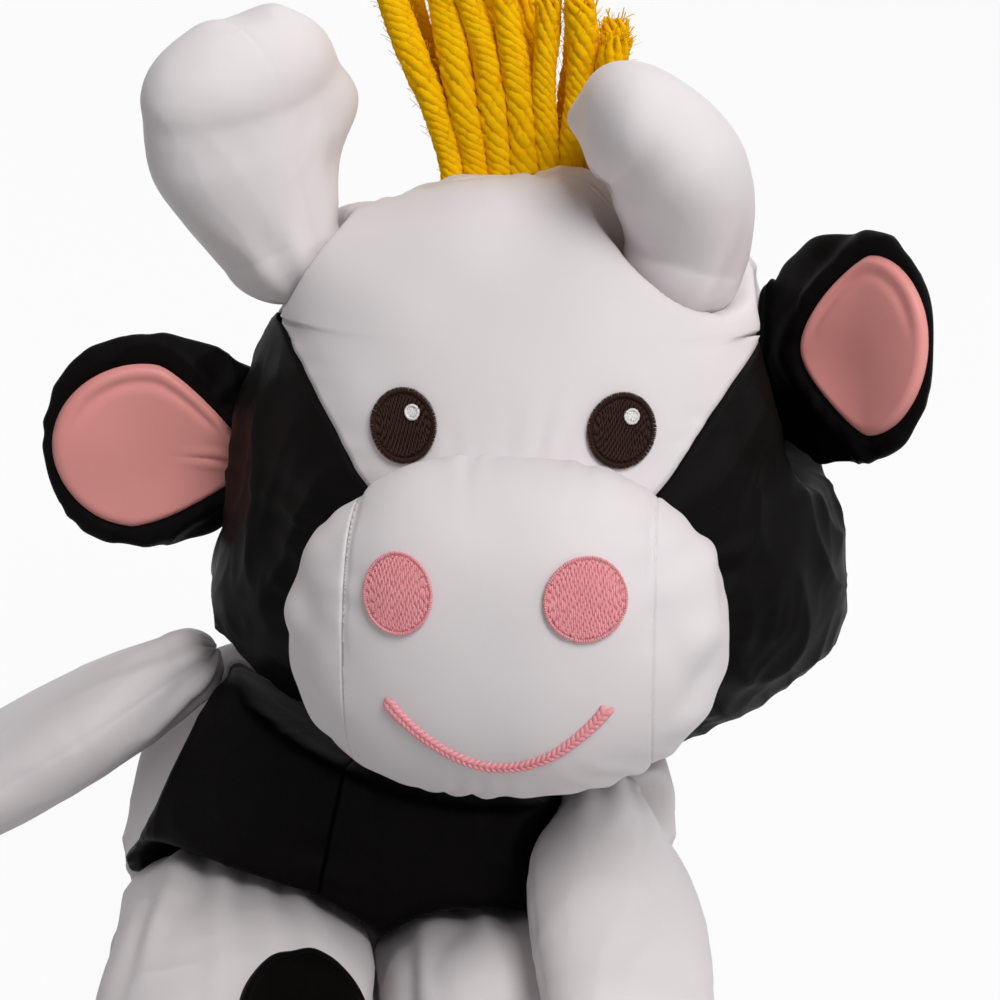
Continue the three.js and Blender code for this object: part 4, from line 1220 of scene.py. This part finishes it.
yarn = {
    "thick": 5.4, "full": 8.7, "plies": 8, "pitch": 27, "steps": 110, "strays": 460, "frays": 34,
    "length": 62, "width": 46, "setback": 18, "seat": -0.8, "fan": 17, "drift": 7, "place": -0.12,
    "cutSide": 0.42, "cutCurve": 0.6, "ragged": 0.07,
    "rows": [{"count": 7, "back": -0.75, "lean": -6}, {"count": 6, "back": 0.75, "lean": 5}],
}


def yarnStrand(name, path, s, seed):
    # plies on a helix about the path, each swelling a little, loosening and fraying towards the cut end
    draw = np.random.default_rng(seed)
    t = np.linspace(0, 1, s["steps"])
    spots = np.linspace(0, 1, len(path))
    line = np.stack([np.interp(t, spots, path[:, k]) for k in range(3)], -1)
    for _ in range(12):
        line[1:-1] = (line[:-2] + 2 * line[1:-1] + line[2:]) / 4
    far = np.concatenate([[0], np.cumsum(np.linalg.norm(np.diff(line, axis=0), axis=-1))])
    ahead = unit(np.gradient(line, axis=0))
    side = unit(np.cross(ahead, [0.1, 1.0, 0.05]))
    up = np.cross(side, ahead)
    ply = np.arange(s["plies"])[:, None]
    full = s["full"] * draw.uniform(0.92, 1.08) * (1 + 0.1 * np.sin(t * 5 + seed) - 0.1 * t)
    reach = full * 0.315 * (1 + 0.35 * np.clip((t - 0.84) / 0.16, 0, 1) ** 2)
    twist = tau * far / s["pitch"] * draw.uniform(0.88, 1.12) + 0.7 * np.sin(far * 0.16 + seed)
    angle = twist + draw.uniform(0, tau) + ply / s["plies"] * tau
    wobble = reach * (1 + 0.07 * np.sin(far * 0.9 + ply * 2 + seed))
    plies = line + (np.cos(angle) * wobble)[..., None] * side + (np.sin(angle) * wobble)[..., None] * up
    bumps = 1 + 0.05 * np.sin(far * 2.9 + seed) + 0.04 * np.sin(far * 1.3)
    thin = np.clip((1 - t) / 0.12, 0.1, 1) ** 0.6 * full * 0.19 * bumps
    core = tube(line[None], (full * 0.3 * np.clip((1 - t) / 0.06, 0.15, 1))[None], 12)
    ropes = tube(plies, thin, 6)

    def fibres(count, ends, outward, forward, long, radius, curl):
        # fine curved hairs that leave the plies near their surface
        starts = draw.uniform(*ends, count)
        long = draw.uniform(*long, count)
        index = (starts * (s["steps"] - 1)).astype(int)
        turn = draw.uniform(0, tau, count)[:, None]
        out = np.cos(turn) * side[index] + np.sin(turn) * up[index]
        grow = np.linspace(0, 1, 6)[None, :, None]
        swirl = draw.normal(0, curl, (count, 1, 3))
        spin = np.cross(ahead[index], out)[:, None] * 0.5
        base = line[index] + out * (full[index] * 0.4 * (1 - (starts > 0.9) * 0.45))[:, None]
        way = ahead[index][:, None] * forward + out[:, None] * outward + spin + swirl * grow
        return tube(base[:, None] + way * grow * long[:, None, None], radius, 3)

    strays = fibres(s["strays"], (0.03, 0.97), 0.22, 0.9, (1.2, 4.2), 0.07, 0.3)
    frays = fibres(s["frays"], (0.88, 0.98), 0.35, 1.0, (2.0, 4.5), 0.2, 0.25)
    return tubesObject(name, [core, ropes, strays, frays])


def buildHair(s):
    # two rows of strands on the crown, spread like a fan and cut shorter towards the cow's left
    number = 0
    for row in s["rows"]:
        for i in range(row["count"]):
            number += 1
            spread = (i + 0.5) / row["count"] * 2 - 1
            x = (spread + s["place"]) * s["width"] / 2
            y = head["lean"] + s["setback"] + row["back"] * s["thick"]
            cut = s["cutSide"] * max(spread, 0) ** s["cutCurve"]
            length = s["length"] * (1 - cut + s["ragged"] * np.cos(3 * number))
            fan = spread * s["fan"] - s["drift"]
            root = crownHeight(x, y) + s["seat"]
            tip = head["size"][2] / 2 + length
            t = np.linspace(0, 1, 24)
            sway = 2.0 * np.sin(t * 5 + number * 1.9) * t
            across, back = x + fan * t ** 1.3 + sway, y + row["lean"] * t ** 1.5 + sway * 0.5
            path = np.stack([across, back, root + (tip - root) * t], -1)
            name = f"yarn_strand_{number:02d}"
            obj = yarnStrand(name, moved(headFrame, path), s, 60 + number)
            finishPiece(obj, "golden yarn", "head", name)


def crownHeight(x, y):
    # the height of the crown above a point of its plan, found on a fine grid of the head
    u, v = np.meshgrid(np.linspace(0.6, 0.999, 160), np.arange(200) / 200, indexing="ij")
    p = headPoint(u, v).reshape(-1, 3)
    near = np.argmin((p[:, 0] - x) ** 2 + (p[:, 1] - y) ** 2)
    return p[near, 2]


# Limbs


fillingFloor = 1.5


def buildLimb(name, part, s, matrix):
    # a cover over its filling, both flat on the floor where the limb rests on it
    pieces = (
        ("cover", "white nylon", limbRelief(s), 0.0, s["rows"], s["columns"]),
        ("stuffing", "fibre", lumps(s["seed"] + 7), fillingFloor, 50, 60),
    )
    for kind, material, relief, floor, rows, columns in pieces:
        surface = dressed(limbPoint(part), relief, matrix @ part["matrix"])
        if s.get("flat"):
            surface = flattened(surface, floor)
        skinPiece(f"{name}_{kind}", name, material, 0.7, surface, rows, columns, s["measure"])


def flattened(surface, floor=0.0):
    # heights below a thin layer on the floor shrink into it, as an exponential does
    layer = 1.2

    def made(u, v):
        p = surface(u, v)
        over = p[..., 2] - floor - layer
        p[..., 2] = np.where(over < 0, floor + layer * np.exp(np.minimum(over, 0) / layer), p[..., 2])
        return p

    return made


limbLooks = {
    "horn": {
        "rows": 130, "columns": 170, "measure": 28, "seed": 91, "fold": 0.5, "gathers": 6, "reach": 14,
        "seam": 0.15, "soft": 0.5, "fine": 0.16,
        "right": {"corners": [
            ((31, -27, 14), 5.0, 9), ((59, -16, 18), 1.2, 6), ((61, 3, 16), 0.8, 5), ((15, -15, 16), -2.0, 6),
            ((64, -6, 17), -1.7, 9),
        ]},
        "left": {"corners": [((28, 1, 38), 3.0, 5), ((17, -6, 25), -2.0, 5)]},
    },
    "arm": {
        "rows": 130, "columns": 150, "measure": 24, "seed": 71, "fold": 0.8, "gathers": 7, "reach": 16,
        "seam": 0.25,
    },
    "leg": {
        "rows": 170, "columns": 220, "measure": 34, "seed": 81, "fold": 1.2, "gathers": 14, "reach": 46,
        "seam": 0.0, "soft": 1.1, "flat": True,
    },
}

spot = {"along": 65.0, "across": 19.2, "length": 52, "width": 40, "lift": 0.85}


patchThick = 0.4


def patch(name, points, faces, cloth):
    # a thin cloth laid on a limb
    obj = makeObject(name, points * mm, faces, np.stack(cloth, -1) * mm)
    tidyMesh(obj)
    addWall(obj, patchThick)
    return obj


def buildSpot(s):
    # an oval patch that follows the top of the leg, with its edge turned in
    part = limbs["leg"]["right"]
    r, a = disc(60, 120)
    x = s["along"] + s["length"] / 2 * r * np.cos(a)
    y = s["across"] + s["width"] / 2 * r * np.sin(a)
    station, u = limbRow(part, x)
    share = np.clip(np.abs(y) / limbSection(part, station)[0], 0, 0.999) ** (part["square"] / 2)
    v = np.arccos(np.sign(y) * share) / tau
    p, n = limbPoint(part)(u, v), normalOf(limbPoint(part), u, v)
    lift = s["lift"] - 0.7 * np.clip((r - 0.93) / 0.07, 0, 1) ** 2 - 0.35 * np.exp(-((r - 0.9) / 0.02) ** 2)
    points = moved(part["matrix"], p + n * (limbRelief(limbLooks["leg"])(p) + lift)[..., None])
    obj = patch("leg_spot", points, gridFaces(*x.shape, True)[:, ::-1], [x, y])
    finishPiece(obj, "black nylon", "leg_right", "leg_spot")


# Ears

earLooks = {
    "rows": 140, "columns": 190, "measure": 26, "dish": 3.0, "roll": 1.9, "lift": 0.9, "band": 0.9, "seat": 0.5,
    "right": {
        "along": 31, "across": -1.0, "rootward": 31, "tipward": 25, "width": 48, "taper": 0.66, "tilt": 6,
        "seed": 105, "pinch": 1.0,
    },
    "left": {
        "along": 38.5, "across": -0.5, "rootward": 22.5, "tipward": 19, "width": 46.5, "taper": 0.5, "tilt": -5,
        "seed": 101, "pinch": 0.0,
    },
}


def eggHalf(s, x, reach):
    # half the lining's width: it tapers towards the root as a power of the way there
    return s["width"] / 2 * (1 - s["taper"] * np.clip(-x / reach, 0, 1) ** 1.25)


def earRing(s, x, z):
    # one on the lining's edge, less inside it and more outside, and the angle round it
    turn = np.radians(s["tilt"])
    dx, dz = x - s["along"], z - s["across"]
    dx, dz = dx * np.cos(turn) + dz * np.sin(turn), dz * np.cos(turn) - dx * np.sin(turn)
    reach = np.where(dx < 0, s["rootward"], s["tipward"])
    return np.hypot(dx / reach, dz / eggHalf(s, dx, reach)), np.arctan2(dz, dx)


def earRelief(s, way):
    # a dish under the lining inside a thick rolled border, with soft folds and a puckered edge
    def relief(p):
        x, y, z = p[..., 0], p[..., 1], p[..., 2]
        front = ramp(-way * y, 0.4)
        r, angle = earRing(s, x, z)
        outside = np.clip((r - 1) * 5, 0, 1)
        low = z - s["across"] + 2
        rise = s["roll"] * np.exp(-((r - 1.25) / 0.2) ** 2) - s["dish"] * np.clip(1 - r ** 2, 0, 1)
        rise -= 0.9 * np.exp(-((r - 1.0) / 0.05) ** 2)
        rise -= s["band"] * np.exp(-((r - 0.8) / 0.08) ** 2) * np.clip(np.sin(angle) * 1.5, 0, 1)
        rise += 0.5 * pucker(np.abs(r - 1.04) * 24, angle * 25, s["seed"], **puckers["ear"]) * outside
        fold = np.exp(-((np.abs(low) - 1.5) / 1.6) ** 2) * np.exp(-((x - s["along"] + 24) / 8) ** 2)
        rise += s["pinch"] * (1.6 * fold - 1.2 * np.exp(-(low / 1.2) ** 2) * np.exp(-((x - 8) / 7) ** 2))
        edge = seam(np.abs(y), angle * 29, s["seed"], **seams["ear"]) * (x > 2)
        soft = p * [1, 0.3, 1]
        edge += 0.9 * crumple(soft, 20, s["seed"] + 3, 0.9)
        return rise * front + edge * outside + 0.35 * ripple(soft, 30, s["seed"] + 8)

    return relief


def buildEar(side, way, s):
    part, s = limbs["ear"][side], {**s, **s[side]}
    place = headFrame @ part["matrix"]
    relief, form = earRelief(s, way), limbPoint(part)
    skin = dressed(form, relief, place), s["rows"], s["columns"], s["measure"]
    skinPiece(f"ear_back_{side}", f"ear_{side}", "black nylon", 0.5, *skin)
    r, a = disc(56, 150)
    reach = np.where(np.cos(a) < 0, s["rootward"], s["tipward"])
    px = reach * r * np.cos(a)
    pz = eggHalf(s, px, reach) * r * np.sin(a)
    turn = np.radians(s["tilt"])
    x = s["along"] + px * np.cos(turn) - pz * np.sin(turn)
    z = s["across"] + px * np.sin(turn) + pz * np.cos(turn)
    station, u = limbRow(part, x)
    length, _, _, _, tip = part["size"]
    end = np.clip((x - length + tip) / tip, 0, 1)
    fill = np.sqrt(np.clip(1 - end ** 2, 0.02, 1))
    share = np.clip(np.abs(z) / (limbSection(part, station)[1] * fill), 0, 0.995)
    v = np.arccos(np.sqrt(1 - share ** 2)) / tau * np.sign(z)
    v = np.where(way > 0, 0.5 - v, v)
    u = np.where(end > 0, 1 - np.arcsin(fill) / (np.pi / 2) * tipShare, u)
    p, n = form(u, v), normalOf(form, u, v)
    lift = s["seat"] + s["lift"] - (s["lift"] + 0.9) * np.clip((r - 0.86) / 0.14, 0, 1) ** 2
    points = moved(place, p + n * (relief(p) + lift)[..., None])
    obj = patch(f"ear_lining_{side}", points, gridFaces(*x.shape, True)[:, ::way], [x, z])
    finishPiece(obj, "pink satin", f"ear_{side}", f"ear_lining_{side}")


# Torso

seatPoses = [(0, 0), (0, -15), (0, 15), (-30, -15), (30, -15), (-30, 15), (30, 15)]


def torsoTests(gap):
    # the head and muzzle at each pose, the neck, and the limbs and tail
    backs = [np.linalg.inv(headPose(*pose)) for pose in seatPoses]
    made = [lambda p, back=back: inHead(moved(back, p), gap + further["head"]) for back in backs]
    made += [lambda p, back=back: inMuzzle(moved(back, p), gap + further["muzzle"]) for back in backs]
    parts = swung("arm") + swung("leg") + swung("tail")
    made += [lambda p, part=part: inLimb(part, p, gap) for part in parts]
    return [*made, neckTest(gap)]


torsoSurface = flattened(dressed(torsoPoint, torsoRelief, np.eye(4), torsoTests(coverGap), grow=1))


def torsoAngles(u):
    # angles of the side seams, the chest's middle seam and the back's, at each row
    across, depth = (np.maximum(x, 1e-6) for x in torsoSection(u))
    height = (1 - np.cos(np.pi * u)) / 2
    slide, square = torso["slouch"] * height ** 2, torso["square"] / 2
    side, other = (
        np.arcsin(np.clip(np.sign(at) * np.abs(at / depth) ** square, -1, 1)) for at in sideSeams(height)
    )
    chest, back = (
        np.arccos(np.sign(at) * np.clip(np.abs(at / across), 0, 1) ** square)
        for at in (torso["chestSeam"] - slide, -slide)
    )
    return side / tau, -0.5 - np.maximum(other, -0.37) / tau, -chest / tau, back / tau


def buildTorsoCovers():
    # chest and back panels between the seams, and a seat panel below them
    seatRow = np.arccos(1 - 2 * (torso["seatSeam"] + torso["sunk"]) / torso["size"][2]) / np.pi
    u = np.linspace(seatRow, 1, 130)
    side, other, chest, back = torsoAngles(u)
    pieces = {
        "chest_panel_left": (chest, np.maximum(side, chest), "black nylon"),
        "chest_panel_right": (np.minimum(other, chest), chest, "black nylon"),
        "back_panel_left": (side, back, "white nylon"),
        "back_panel_right": (back, 1 + other, "white nylon"),
    }
    for name, (low, high, material) in pieces.items():
        panelPiece(name, "torso", material, 0.7, torsoSurface, u, low, high, 130, 70)
    u = np.linspace(0, seatRow, 60)
    panelPiece("seat_panel", "torso", "white nylon", 0.7, torsoSurface, u, 0 * u, 0 * u + 1, 260, 70)


def buildTorsoFilling():
    surface = dressed(torsoPoint, lumps(111), np.eye(4), torsoTests(fillingGap), grow=3)
    skinPiece("body_stuffing", "torso", "fibre", 0.8, flattened(surface, fillingFloor), 90, 130, 70)
    radius = neck["radius"]

    def ball(u, v):
        ring = radius * np.sin(np.pi * u)
        return np.stack([ring * np.cos(tau * v), ring * np.sin(tau * v), -radius * np.cos(np.pi * u)], -1)

    surface = dressed(ball, lambda p: 0.5 * ripple(p, 16, 113) - 0.6, placed(np.eye(4), neck["at"]))
    skinPiece("neck_stuffing", "neck", "fibre", 0.9, surface, 60, 90, radius)


def buildTail():
    # a short cover and five locks of yarn in a ring that widens
    relief = limbRelief({"seed": 121, "fold": 0.3, "gathers": 5, "reach": 10, "soft": 0.4})
    surface = dressed(limbPoint(tail), lambda p: 0.5 * relief(p), tail["matrix"])
    skinPiece("tail_cover", "tail", "white nylon", 0.6, surface, 80, 50, 8)
    t = np.linspace(0, 1, 12)
    tuft = None
    for k in range(5):
        out, angle = (0.4 + 0.45 * t) * yarn["thick"], k / 5 * tau
        path = np.stack([tail["size"][0] - 3 + 33 * t, out * np.cos(angle), out * np.sin(angle)], -1)
        strand = {**yarn, "steps": 44}
        lock = yarnStrand("lock" if tuft else "tail_tuft", moved(tail["matrix"], path), strand, 130 + k)
        tuft = joinInto(tuft, lock) if tuft else lock
    finishPiece(tuft, "golden yarn", "tail", "tail_tuft")


buildHeadCovers()
buildHeadFilling()
buildMuzzleCovers()
print("head and muzzle made")
buildEyes(eyes, glints)
buildNostrils(nostrils)
buildMouth(mouth)
buildHair(yarn)
print("embroidery and hair made")
for side, way in ways.items():
    for kind, s in limbLooks.items():
        base = headFrame if kind == "horn" else np.eye(4)
        buildLimb(f"{kind}_{side}", limbs[kind][side], {**s, **s.get(side, {})}, base)
    buildEar(side, way, earLooks)
buildSpot(spot)
print("limbs made")
buildTorsoCovers()
buildTorsoFilling()
buildTail()
print("torso and tail made")
